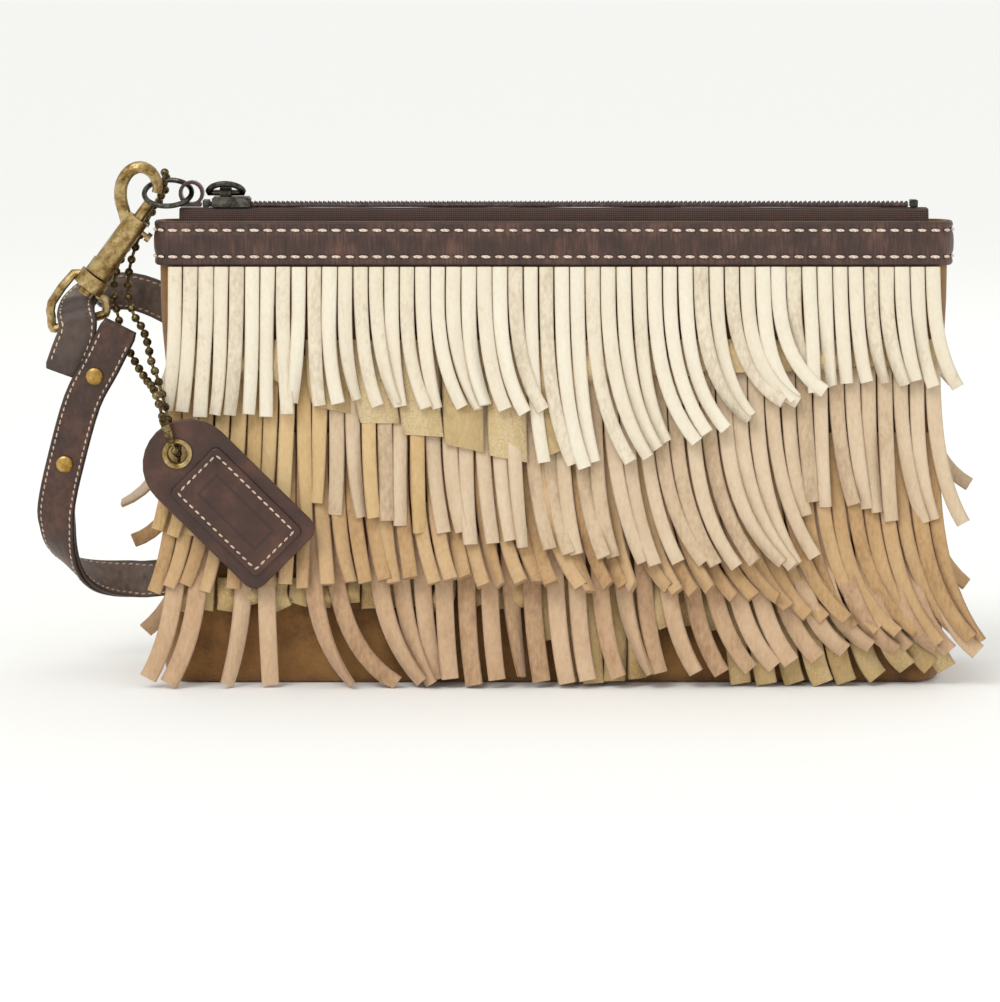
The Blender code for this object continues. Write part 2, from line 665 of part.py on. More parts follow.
def joint_frames():
    """An empty on each joint's axis, with the pieces that turn or slide on it."""
    tilt = Vector((0.0, math.sin(math.radians(RING_LEAN)), math.cos(math.radians(RING_LEAN))))
    pivot = Vector((TAB_X - 2 * RING_RADIUS, 0.0, RING_Z))
    frames = (
        ("slider_axis", None, Vector((sum(SLIDER_X) / 2, 0, 125)), Vector((1, 0, 0)), ("slider",)),
        ("pull_axis", "slider_axis", Vector((PULL_CENTRE_X, 0, PULL_AXIS_Z)), Vector((1, 0, 0)), ("pull",)),
        ("ring_axis", None, Vector((TAB_X, 0, RING_Z)), Vector((0, 1, 0)),
         ("hook_ring", "ball_chain", "chain_connector")),
        ("hook_axis", "ring_axis", pivot, tilt, ("snap_hook",)),
        ("bolt_axis", "hook_axis", along(0), DOWN, ("bolt", "bolt_spring")),
        ("eye_axis", "hook_axis", along(20.9), DOWN, ("swivel_eye",)),
        ("strap_axis", "eye_axis", BAR_CENTRE, bar_point(1) - bar_point(-1),
         ("strap_outer", "strap_lining", "rivet_upper", "rivet_lower")),
        ("tag_axis", "ring_axis", EYELET_CENTRE, Vector((0, 1, 0)), ("tag_board", "tag_patch", "eyelet")),
    )
    for name, parent, place, axis, pieces in frames:
        empty = bpy.data.objects.new(name, None)
        PARTS.objects.link(empty)
        matrix = axis.to_track_quat("Z", "Y").to_matrix().to_4x4()
        matrix.translation = place * MM
        if parent:
            empty.parent = bpy.data.objects[parent]
            bpy.context.view_layer.update()
        empty.matrix_world = matrix
        bpy.context.view_layer.update()
        for piece in pieces:
            obj = bpy.data.objects[piece]
            world = obj.matrix_world.copy()
            obj.parent = empty
            obj.matrix_world = world
        bpy.context.view_layer.update()


def smooth_round_pieces():
    for obj in PARTS.objects:
        if obj.type == "MESH":
            obj.data.shade_smooth()
            obj.data.set_sharp_from_angle(angle=math.radians(35))


make_body()
make_fringe()
make_zip()
make_slider()
make_ring()
make_hook()
make_eye()
make_strap()
make_tag()
make_chain()
smooth_round_pieces()
joint_frames()
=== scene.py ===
"""Looks of a fringed suede wristlet pouch: cut suede fringe, stitched leather bands, zip, strap and tag.

Sizes in this file are in millimetres in the row frame, and meshes are made in metres.
"""
import math
import random

import bmesh
import bpy
from bpy.props import FloatProperty, FloatVectorProperty, IntProperty, PointerProperty
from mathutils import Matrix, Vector, noise


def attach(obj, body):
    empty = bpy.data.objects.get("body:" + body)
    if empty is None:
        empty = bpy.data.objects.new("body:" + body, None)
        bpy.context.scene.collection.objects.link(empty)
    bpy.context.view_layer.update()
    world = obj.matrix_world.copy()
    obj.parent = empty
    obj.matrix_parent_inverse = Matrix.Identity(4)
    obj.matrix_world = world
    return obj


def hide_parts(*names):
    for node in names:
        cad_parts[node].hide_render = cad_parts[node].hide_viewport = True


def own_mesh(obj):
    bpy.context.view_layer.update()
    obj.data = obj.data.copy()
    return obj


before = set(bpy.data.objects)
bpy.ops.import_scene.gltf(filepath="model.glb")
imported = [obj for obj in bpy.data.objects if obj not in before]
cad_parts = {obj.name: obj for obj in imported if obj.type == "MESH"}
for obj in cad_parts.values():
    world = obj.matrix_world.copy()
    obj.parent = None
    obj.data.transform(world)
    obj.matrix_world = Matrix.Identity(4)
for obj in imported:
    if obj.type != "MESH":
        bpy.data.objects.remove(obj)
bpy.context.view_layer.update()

bl_info = {
    "name": "Fringed suede pouch",
    "version": (1, 0, 0),
    "blender": (4, 5, 0),
    "location": "3D View > Sidebar > Pouch",
    "description": "Builds the visible pieces of a fringed suede wristlet pouch",
    "category": "Object",
}

MM = 0.001
SEED = 11

# Pouch body
HALF_LENGTH = 103.4
TOP_HALF_DEPTH = 6.0
BASE_HALF_DEPTH = 16.0
BODY_HEIGHT = 109.0
MOUTH_Z = 120.7
BAND_BOTTOM_Z = 109.2
BAND_ROWS = (118.5, 111.6)

# Backdrop, large enough for its far edge to stay out of view
FLOOR_HALF = 60000

# Strap hardware
BAR_CENTRE = Vector((-125.0, 0.0, 94.0))
BAR_TILT = math.radians(15.6)
EYELET_CENTRE = Vector((-97.5, -23.5, 61.9))
STRAP_STEPS = 4

# How far down a strip its sideways bend gathers: higher is nearer the tip
BEND = 1.9

# Strips from the left: cut away in the rose tier, honey-coloured in the beige one, and mixed with beige
PARTED_STRIPS = (2, 5, 8)
HONEY_STRIPS = 10
MIXED_STRIPS = 18

CHAIN_ROUTE = (
    (-98.9, -27.0, 65.9), (-98.4, -26.9, 64.4), (-97.8, -25.9, 62.7), (-97.5, -23.5, 61.9),
    (-97.8, -21.0, 62.8), (-99.4, -19.7, 66.8), (-101.2, -18.6, 74.6), (-102.9, -16.6, 80.3),
    (-104.9, -13.0, 84.6), (-106.2, -8.6, 88.8), (-108.0, -3.6, 92.4), (-110.8, 0.8, 96.0),
    (-112.4, 4.2, 101.5), (-112.0, 5.6, 108.0), (-109.6, 6.0, 115.5), (-106.0, 7.0, 122.5),
    (-102.8, 7.4, 127.6), (-102.3, 7.6, 131.2), (-102.4, 5.4, 133.1), (-102.5, 3.1, 131.0),
    (-103.2, 3.3, 127.0), (-107.3, 4.7, 121.8), (-111.6, 5.4, 115.0), (-115.4, 5.6, 107.6),
    (-116.3, 4.9, 101.0), (-115.0, 2.4, 95.2), (-113.4, -0.7, 89.7), (-111.2, -3.4, 85.8),
    (-108.6, -8.4, 82.4), (-106.2, -13.4, 79.9), (-104.2, -18.6, 78.6), (-102.8, -23.4, 77.0),
    (-101.8, -26.4, 74.8), (-101.0, -27.0, 72.0),
)

# Fringe tiers: top, left and right hem heights of the cut sheet, how far its top and its hem stand off
# the body, and the number of strips
TIERS = (
    ("cream", 108.8, 73.0, 70.0, 0.5, 4.6, 50),
    ("gold", 90.0, 60.0, 52.0, 1.0, 4.2, 17),
    ("beige", 86.0, 42.0, 44.0, 0.5, 3.6, 48),
    ("camel", 66.0, 26.0, 22.0, 0.5, 3.6, 48),
    ("rose", 48.0, 6.0, 8.0, 0.5, 3.6, 35),
    ("base_gold", 28.0, 3.0, 3.0, 0.5, 2.2, 32),
)

# How each tier hangs on the front: (X at its top, Z of the tip, sideways sweep of the tip, curl of the tip)
FRONT_HANG = {
    "cream": ((-101, 72, -2, 0), (-72, 71, 0, 0), (-66, 74, 1, 0), (-50, 74, 4, 1), (-30, 74, 6, 1),
              (-9, 72, 8, 1), (-7, 58, 4, 0), (0, 57, 7, 1), (20, 63, 11, 2), (40, 71, 14, 2),
              (58, 77, 11, 2), (66, 78, 3, 0), (93, 79, 3, 0), (98, 78, 7, 0), (101, 77, 14, 1)),
    "gold": ((-101, 82, 0, 0), (-68, 80, 0, 0), (-58, 71, 1, 0), (-40, 67, 1, 0), (-18, 61, 1, 0),
             (-2, 57, 1, 0), (8, 80, 1, 0), (101, 84, 0, 0)),
    "beige": ((-101, 41, -5, 0), (-66, 40, -1, 0), (-61, 47, 0, 0), (-24, 39, 3, 1), (0, 36, 6, 3),
              (26, 33, 12, 4), (50, 32, 14, 4), (58, 36, 10, 2), (62, 49, 3, 0), (85, 45, 4, 0),
              (94, 43, 6, 0), (101, 44, 12, 1)),
    "camel": ((-101, 26, -7, 1), (-66, 27, -1, 2), (-58, 27, 4, 5), (-30, 29, 6, 7), (0, 27, 9, 8),
              (30, 27, 11, 8), (44, 23, 14, 5), (70, 15, 19, 3), (92, 13, 18, 2), (101, 14, 13, 2)),
    "rose": ((-101, 3, -10, 2), (-88, 1, -10, 2), (-78, 0.8, -2, 2), (-70, 0.8, 10, 2), (-56, 1, 17, 2),
             (-42, 2, 11, 2), (-32, 2, 2, 2), (0, 2, 3, 3), (30, 4, 9, 3), (60, 9, 15, 3),
             (85, 11, 16, 2), (101, 10, 12, 2)),
    "base_gold": ((-101, 21, 0, 0), (-8, 21, 0, 0), (2, 1, 0, 1), (23, 2, 0, 1), (27, 15, 2, 1),
                  (42, 15, 2, 1), (47, 0.6, 2, 1), (66, 0.8, 4, 1), (90, 5, 8, 1), (101, 6, 6, 1)),
}
BACK_HANG = {
    "cream": ((-101, 74, -8, 1), (-90, 71, -1, 0), (0, 70, 1, 0), (90, 72, 3, 0), (101, 77, 14, 1)),
    "gold": ((-101, 60, 0, 0), (101, 60, 0, 0)),
    "beige": ((-101, 43, -20, 1), (-90, 41, -8, 0), (0, 42, -1, 1), (90, 45, 7, 0), (101, 48, 18, 1)),
    "camel": ((-101, 33, -17, 2), (-90, 26, -6, 2), (0, 25, 1, 3), (90, 20, 9, 2), (101, 21, 16, 2)),
    "rose": ((-101, 10, -15, 2), (-90, 5, -9, 2), (0, 4, 2, 3), (90, 6, 6, 2), (101, 10, 14, 2)),
    "base_gold": ((-101, 3, -4, 1), (101, 3, 4, 1)),
}


# ---------------------------------------------------------------- shared sums

def linear(code):
    """An sRGB hex colour as linear RGBA; a colour setting is linear already."""
    if not isinstance(code, str):
        return (*code, 1.0)
    parts = [int(code[i:i + 2], 16) / 255 for i in (1, 3, 5)]
    return tuple(c / 12.92 if c <= 0.04045 else ((c + 0.055) / 1.055) ** 2.4 for c in parts) + (1.0,)


def smooth_path(points, per_span):
    """Points along a Catmull-Rom curve through given points of any size."""
    padded = [points[0], *points, points[-1]]
    out = []
    for i in range(1, len(padded) - 2):
        p0, p1, p2, p3 = padded[i - 1:i + 3]
        for j in range(per_span):
            t = j / per_span
            out.append(tuple(
                0.5 * (2 * b + (c - a) * t + (2 * a - 5 * b + 4 * c - d) * t * t
                       + (3 * b - a - 3 * c + d) * t ** 3)
                for a, b, c, d in zip(p0, p1, p2, p3)
            ))
    out.append(tuple(points[-1]))
    return out


def blend_rows(rows, x):
    """The values of a table of rows at x, straight between its rows."""
    if x <= rows[0][0]:
        return rows[0][1:]
    for low, high in zip(rows, rows[1:]):
        if x <= high[0]:
            t = (x - low[0]) / (high[0] - low[0])
            return tuple(a + (b - a) * t for a, b in zip(low[1:], high[1:]))
    return rows[-1][1:]


def half_depth(z):
    """Half of the pouch's depth: narrow at the mouth and full at the base."""
    share = min(max(1 - z / BODY_HEIGHT, 0.0), 1.0)
    return TOP_HALF_DEPTH + (BASE_HALF_DEPTH - TOP_HALF_DEPTH) * math.sin(share * math.pi / 2)


def plan_half(z, grow, side, count=8, seam=0.0):
    """Half of the pouch's outline seen from above, from its left end to its right end."""
    depth = half_depth(z) + grow
    length = HALF_LENGTH + grow
    cap = min(5 + 0.25 * (depth - 6), depth)
    turns = [math.pi / 2 * i / count for i in range(count + 1)]
    left = [(-(length - cap) - cap * math.cos(a), side * (seam + (depth - seam) * math.sin(a)))
            for a in turns]
    right = [(-x, y) for x, y in reversed(left)]
    middle = [(left[-1][0] + (right[0][0] - left[-1][0]) * i / 60, left[-1][1]) for i in range(1, 60)]
    return left + middle + right


# ---------------------------------------------------------------- meshes

def new_mesh(name, points, faces, finish, smooth=True):
    """A mesh object in metres from points in millimetres."""
    mesh = bpy.data.meshes.new(name)
    mesh.from_pydata([tuple(c * MM for c in p) for p in points], [], faces)
    mesh.validate()
    obj = bpy.data.objects.new(name, mesh)
    bpy.context.scene.collection.objects.link(obj)
    mesh.materials.append(finish)
    if smooth:
        mesh.shade_smooth()
    return obj


def loft(name, rings, finish, closed=False, capped=True, smooth=True):
    """A skin over rings of points; closed joins the last ring to the first."""
    count = len(rings[0])
    points = [p for ring in rings for p in ring]
    faces = []
    for i in range(len(rings) if closed else len(rings) - 1):
        a, b = i * count, (i + 1) % len(rings) * count
        for j in range(count):
            k = (j + 1) % count
            faces.append((a + j, a + k, b + k, b + j))
    if capped and not closed:
        faces += [tuple(reversed(range(count))), tuple(range(len(points) - count, len(points)))]
    obj = new_mesh(name, points, faces, finish, smooth)
    bm = bmesh.new()
    bm.from_mesh(obj.data)
    bmesh.ops.recalc_face_normals(bm, faces=bm.faces)
    bm.to_mesh(obj.data)
    bm.free()
    return obj


def lathe(name, start, end, profile, finish, sides=28):
    """A turned piece: the profile is (share of the way from start to end, radius)."""
    start, end = Vector(start), Vector(end)
    turn = (end - start).to_track_quat("Z", "Y")
    length = (end - start).length
    rings = []
    for share, radius in profile:
        rings.append([
            start + turn @ Vector((radius * math.cos(2 * math.pi * i / sides),
                                   radius * math.sin(2 * math.pi * i / sides), length * share))
            for i in range(sides)
        ])
    obj = loft(name, rings, finish)
    obj.data.set_sharp_from_angle(angle=math.radians(40))
    return obj


def wire(name, points, radii, finish, closed=False, sides=14):
    """A round wire along points, with rounded ends."""
    points = [Vector(p) for p in points]
    rings = []
    normal = None
    last = len(points) - 1
    for i, point in enumerate(points):
        after = points[(i + 1) % len(points)] if closed else points[min(i + 1, last)]
        before = points[i - 1] if closed or i else points[0]
        run = (after - before).normalized()
        if normal is None:
            normal = run.orthogonal().normalized()
        normal = (normal - run * normal.dot(run)).normalized()
        other = run.cross(normal)
        radius = radii[i] if hasattr(radii, "__len__") else radii
        ring = [point + radius * (normal * math.cos(2 * math.pi * j / sides)
                                  + other * math.sin(2 * math.pi * j / sides)) for j in range(sides)]
        if not closed and i in (0, last):
            away = -run if i == 0 else run
            small = [point + away * radius * 0.45 + (p - point) * 0.6 for p in ring]
            rings += [small, ring] if i == 0 else [ring, small]
        else:
            rings.append(ring)
    return loft(name, rings, finish, closed=closed)


def softened(node, name, finish, bevel, angle=30):
    """A merged copy of a CAD piece with its edges rounded."""
    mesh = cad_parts[node].data.copy()
    mesh.name = name
    obj = bpy.data.objects.new(name, mesh)
    bpy.context.scene.collection.objects.link(obj)
    bm = bmesh.new()
    bm.from_mesh(mesh)
    bmesh.ops.remove_doubles(bm, verts=bm.verts, dist=2e-6)
    bmesh.ops.dissolve_limit(bm, angle_limit=math.radians(1.5), verts=bm.verts, edges=bm.edges)
    bm.to_mesh(mesh)
    bm.free()
    mesh.materials.clear()
    mesh.materials.append(finish)
    mesh.shade_smooth()
    round_off = obj.modifiers.new("rounded_edges", "BEVEL")
    round_off.width = bevel * MM
    round_off.segments = 3
    round_off.limit_method = "ANGLE"
    round_off.angle_limit = math.radians(angle)
    round_off.harden_normals = True
    mesh.set_sharp_from_angle(angle=math.radians(angle))
    return obj


def settle(obj, body, slot, *nodes):
    """Put a finished piece on its body, in the place of its CAD nodes."""
    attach(obj, body)
    if nodes:
        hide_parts(*nodes)
    return obj


def paint(obj, name, domain, values):
    """Keep one number for each point or face for the material to read."""
    layer = obj.data.attributes.new(name, "FLOAT", domain)
    layer.data.foreach_set("value", values)


# ---------------------------------------------------------------- nodes

# Spacing of a Wave texture's bands at scale 1, and of a thread's twisted plies in mm
WAVE_PER_SPACING = 0.31
PLY_SPACING = 0.5


def add(tree, kind, inputs=None, **settings):
    """Add a node with its settings, and its sockets' values or links."""
    made = tree.nodes.new(kind)
    for name, value in settings.items():
        setattr(made, name, value)
    for key, value in (inputs or {}).items():
        if isinstance(value, bpy.types.NodeSocket):
            tree.links.new(value, made.inputs[key])
        else:
            made.inputs[key].default_value = value
    return made


def ramp(tree, factor, stops):
    """A colour ramp with (place, hex colour) stops."""
    made = add(tree, "ShaderNodeValToRGB", {"Fac": factor})
    cells = made.color_ramp.elements
    while len(cells) < len(stops):
        cells.new(0.5)
    for cell, (place, code) in zip(cells, stops):
        cell.position = place
        cell.color = linear(code)
    return made.outputs["Color"]


def mix(tree, factor, first, second, blend="MIX"):
    """Mix two colours."""
    made = add(tree, "ShaderNodeMix", data_type="RGBA", blend_type=blend)
    for socket, value in ((made.inputs[0], factor), (made.inputs[6], first), (made.inputs[7], second)):
        if isinstance(value, bpy.types.NodeSocket):
            tree.links.new(value, socket)
        else:
            socket.default_value = value
    return made.outputs[2]


def maths(tree, operation, *values, clamp=False):
    """A Math node on numbers or sockets."""
    made = add(tree, "ShaderNodeMath", dict(enumerate(values)), operation=operation, use_clamp=clamp)
    return made.outputs[0]


def grain(tree, place, size, detail=3.0, stretch=(1, 1, 1), roughness=0.55):
    """Noise with features of a real size in millimetres, stretched along each axis."""
    moved = add(tree, "ShaderNodeMapping", {"Vector": place, "Scale": tuple(1 / s for s in stretch)})
    made = add(tree, "ShaderNodeTexNoise", {
        "Vector": moved.outputs[0], "Scale": 1 / (size * MM), "Detail": detail, "Roughness": roughness,
    })
    return made.outputs["Fac"]


def start_material(name):
    """A new material with its tree, shader and object coordinates."""
    made = bpy.data.materials.new(name)
    made.use_nodes = True
    tree = made.node_tree
    shader = tree.nodes["Principled BSDF"]
    place = add(tree, "ShaderNodeTexCoord").outputs["Object"]
    return made, tree, shader, place


def finish_shader(tree, shader, colour, roughness, height=None, depth=0.1, **constants):
    """Link colour, roughness and bump, and set the shader's constant sockets."""
    tree.links.new(colour, shader.inputs["Base Color"])
    if isinstance(roughness, bpy.types.NodeSocket):
        tree.links.new(roughness, shader.inputs["Roughness"])
    else:
        shader.inputs["Roughness"].default_value = roughness
    if height is not None:
        bump = add(tree, "ShaderNodeBump", {"Height": height, "Distance": depth * MM, "Strength": 1.0})
        tree.links.new(bump.outputs[0], shader.inputs["Normal"])
    for socket, value in constants.items():
        shader.inputs[socket.replace("_", " ")].default_value = value


def suede(name, light, middle, shade, foil=None):
    """Split suede: a matt nap that catches light one way, with strip-to-strip tone and painted shade on the
    strips' sides and cut ends.

    foil gives the flaked metal colour printed on it.
    """
    made, tree, shader, place = start_material(name)
    tone = add(tree, "ShaderNodeAttribute", attribute_name="tone").outputs["Fac"]
    edge = add(tree, "ShaderNodeAttribute", attribute_name="edge").outputs["Fac"]
    nap = grain(tree, place, 0.9, 4.0, (1, 1, 2.4))
    cloud = grain(tree, place, 7.0, 2.0, (0.7, 0.7, 1.8))
    level = maths(tree, "ADD", maths(tree, "MULTIPLY", tone, 0.24), maths(tree, "MULTIPLY", cloud, 0.26))
    level = maths(tree, "ADD", level, maths(tree, "MULTIPLY", nap, 0.34))
    level = maths(tree, "ADD", level, 0.12)
    colour = ramp(tree, level, ((0.22, shade), (0.48, middle), (0.78, light)))
    # Painted shade: the strips' sides and cut ends are mixed towards the shade colour.
    colour = mix(tree, maths(tree, "MULTIPLY", edge, 0.55), colour, linear(shade))
    roughness = 0.92
    if foil:
        flake = add(tree, "ShaderNodeTexVoronoi", {"Vector": place, "Scale": 1 / (0.8 * MM)})
        speckle = maths(tree, "ADD", grain(tree, place, 0.5, 3.0), maths(tree, "MULTIPLY", cloud, 0.25))
        metal = add(tree, "ShaderNodeMapRange", {
            "Value": speckle, "From Min": 0.50, "From Max": 0.66, "To Min": 1.0, "To Max": 0.0}).outputs[0]
        metal = maths(tree, "MULTIPLY", metal, maths(tree, "SUBTRACT", 1.0, edge))
        bright = mix(tree, flake.outputs["Distance"], linear(foil), linear(middle))
        colour = mix(tree, metal, colour, bright)
        roughness = add(tree, "ShaderNodeMapRange", {
            "Value": metal, "To Min": 0.85, "To Max": 0.42}).outputs[0]
        tree.links.new(maths(tree, "MULTIPLY", metal, 0.7), shader.inputs["Metallic"])
    height = maths(tree, "ADD", nap, maths(tree, "MULTIPLY", grain(tree, place, 0.35, 2.0), 0.5))
    finish_shader(tree, shader, colour, roughness, height, 0.22,
                  Sheen_Weight=0.25, Sheen_Roughness=0.5, Specular_IOR_Level=0.2)
    return made


def body_suede(name):
    """Tan suede, rubbed smooth, with soft clouds in its nap."""
    made, tree, shader, place = start_material(name)
    nap = grain(tree, place, 0.8, 4.0)
    cloud = grain(tree, place, 12.0, 3.0)
    level = maths(tree, "ADD", maths(tree, "MULTIPLY", cloud, 0.8), maths(tree, "MULTIPLY", nap, 0.25))
    colour = ramp(tree, level, ((0.3, "#4e3219"), (0.52, "#805a30"), (0.8, "#9a7342")))
    finish_shader(tree, shader, colour, 0.82, nap, 0.15, Sheen_Weight=0.15, Specular_IOR_Level=0.3)
    return made


def waxed_leather(name, dark, middle, light, streaks, gloss=0.42, edge="#22120d"):
    """Oil-waxed calf: satin, with pulled-up lighter patches, fine pores, and creases where it is bent."""
    made, tree, shader, place = start_material(name)
    pores = grain(tree, place, 0.7, 3.0)
    patch = grain(tree, place, 9.0, 3.0)
    pull = grain(tree, place, 1.6, 3.0, streaks)
    level = maths(tree, "ADD", maths(tree, "MULTIPLY", patch, 0.55), maths(tree, "MULTIPLY", pull, 0.45))
    colour = ramp(tree, level, ((0.34, dark), (0.5, middle), (0.66, light)))
    # Darkens towards the edge colour: real edge paint and wear, and painted shade on the strap's back ply
    # along its loop and tail
    wear_and_shade = add(tree, "ShaderNodeAttribute", attribute_name="wear_and_shade").outputs["Fac"]
    colour = mix(tree, maths(tree, "MULTIPLY", wear_and_shade, 0.75), colour, linear(edge))
    roughness = add(tree, "ShaderNodeMapRange", {
        "Value": level, "From Min": 0.35, "From Max": 0.65, "To Min": gloss - 0.08,
        "To Max": gloss + 0.14}).outputs[0]
    height = maths(tree, "ADD", maths(tree, "MULTIPLY", pores, 0.5), pull)
    finish_shader(tree, shader, colour, roughness, height, 0.22, Coat_Weight=0.12, Coat_Roughness=0.35)
    return made


def tag_leather(name, debossed=False):
    """Bridle leather, pressed smooth; the raised patch carries a plain debossed oblong line."""
    made, tree, shader, place = start_material(name)
    pores = grain(tree, place, 0.6, 3.0)
    patch = grain(tree, place, 7.0, 3.0)
    level = maths(tree, "ADD", maths(tree, "MULTIPLY", patch, 0.8), maths(tree, "MULTIPLY", pores, 0.2))
    colour = ramp(tree, level,
                  ((0.3, "#2e180f"), (0.52, "#45261a"), (0.74, "#5e3a29")))
    height = maths(tree, "MULTIPLY", pores, 0.5)
    if debossed:
        turned = add(tree, "ShaderNodeVectorMath", {0: place, 1: tuple(-c * MM for c in EYELET_CENTRE)},
                     operation="ADD")
        turned = add(tree, "ShaderNodeVectorRotate",
                     {"Vector": turned.outputs[0], "Angle": math.radians(-45)}, rotation_type="Y_AXIS")
        axes = add(tree, "ShaderNodeSeparateXYZ", {0: turned.outputs[0]})
        from_x = maths(tree, "ABSOLUTE", maths(tree, "SUBTRACT", axes.outputs[0], 21.3 * MM))
        from_z = maths(tree, "ABSOLUTE", axes.outputs[2])
        reach = maths(tree, "MAXIMUM", maths(tree, "SUBTRACT", from_x, 10.2 * MM),
                      maths(tree, "SUBTRACT", from_z, 3.4 * MM))
        line = maths(tree, "COMPARE", reach, 0.0, 0.35 * MM)
        colour = mix(tree, maths(tree, "MULTIPLY", line, 0.6), colour, linear("#2a150e"))
        height = maths(tree, "SUBTRACT", height, maths(tree, "MULTIPLY", line, 1.5))
    finish_shader(tree, shader, colour, 0.38, height, 0.2, Coat_Weight=0.15, Coat_Roughness=0.3)
    return made


def woven(name, light, dark, thread):
    """Plain woven tape or cloth: over-and-under threads that show as fine chequered ribs."""
    made, tree, shader, place = start_material(name)
    rib = {"Vector": place, "Scale": WAVE_PER_SPACING / (thread * MM), "Distortion": 0.6}
    warp = add(tree, "ShaderNodeTexWave", rib, bands_direction="X").outputs["Fac"]
    weft = add(tree, "ShaderNodeTexWave", rib, bands_direction="Z").outputs["Fac"]
    weave = maths(tree, "MULTIPLY", warp, weft)
    level = maths(tree, "ADD", weave, maths(tree, "MULTIPLY", grain(tree, place, 5.0), 0.3))
    colour = ramp(tree, level, ((0.1, dark), (0.9, light)))
    finish_shader(tree, shader, colour, 0.88, weave, 0.15, Sheen_Weight=0.1)
    return made


def nylon(name):
    """Dyed nylon monofilament: smooth and a little glossy, with dust in its turns."""
    made, tree, shader, place = start_material(name)
    colour = ramp(tree, grain(tree, place, 1.4), ((0.35, "#2e1c18"), (0.6, "#4a322c"), (0.8, "#6d5249")))
    finish_shader(tree, shader, colour, 0.42, grain(tree, place, 0.5), 0.04)
    return made


def thread(name, light, dark):
    """Waxed linen thread: two plies twisted together, with painted shade in the hollows between them and
    dusty mottling all over.
    """
    made, tree, shader, place = start_material(name)
    plies = {"Vector": place, "Scale": WAVE_PER_SPACING / (PLY_SPACING * MM), "Distortion": 1.5}
    twist = add(tree, "ShaderNodeTexWave", plies, bands_direction="DIAGONAL").outputs["Fac"]
    dust = maths(tree, "MULTIPLY", grain(tree, place, 3.0), 0.6)
    # Painted shade: the twist's low bands, the hollows between the plies, are coloured darker; the dust
    # mottles it all over
    level = maths(tree, "ADD", maths(tree, "MULTIPLY", twist, 0.4), dust)
    colour = ramp(tree, level, ((0.25, dark), (0.65, light)))
    finish_shader(tree, shader, colour, 0.75, twist, 0.08, Sheen_Weight=0.1)
    return made


def old_metal(name, bright, middle, dark, patina=0.5, base=0.3):
    """Plated casting, with bright rubbed metal and brown patina in clouds, and fine handling scratches."""
    made, tree, shader, place = start_material(name)
    cloud = grain(tree, place, 3.2, 4.0)
    speck = grain(tree, place, 0.7, 4.0)
    level = maths(tree, "ADD", maths(tree, "MULTIPLY", cloud, 0.7), maths(tree, "MULTIPLY", speck, 0.3))
    colour = ramp(tree, level, ((patina - 0.14, dark), (patina, middle), (patina + 0.16, bright)))
    roughness = add(tree, "ShaderNodeMapRange", {
        "Value": level, "From Min": 0.35, "From Max": 0.65,
        "To Min": base + 0.2, "To Max": base}).outputs[0]
    scratch = grain(tree, place, 0.5, 2.0, (6, 1, 1))
    finish_shader(tree, shader, colour, roughness, maths(tree, "ADD", scratch, speck), 0.03, Metallic=1.0)
    return made


def floor_paper(name):
    """Matt backdrop paper: nearly white, with a faint tooth."""
    made, tree, shader, place = start_material(name)
    colour = ramp(tree, grain(tree, place, 2.0), ((0.3, "#fafaf8"), (0.7, "#fcfcfa")))
    finish_shader(tree, shader, colour, 0.95, grain(tree, place, 1.0), 0.02, Specular_IOR_Level=0.1)
    return made


FINISH = {}


# ---------------------------------------------------------------- what repeats along a line

RINGS_PER_SEGMENT = 0.75


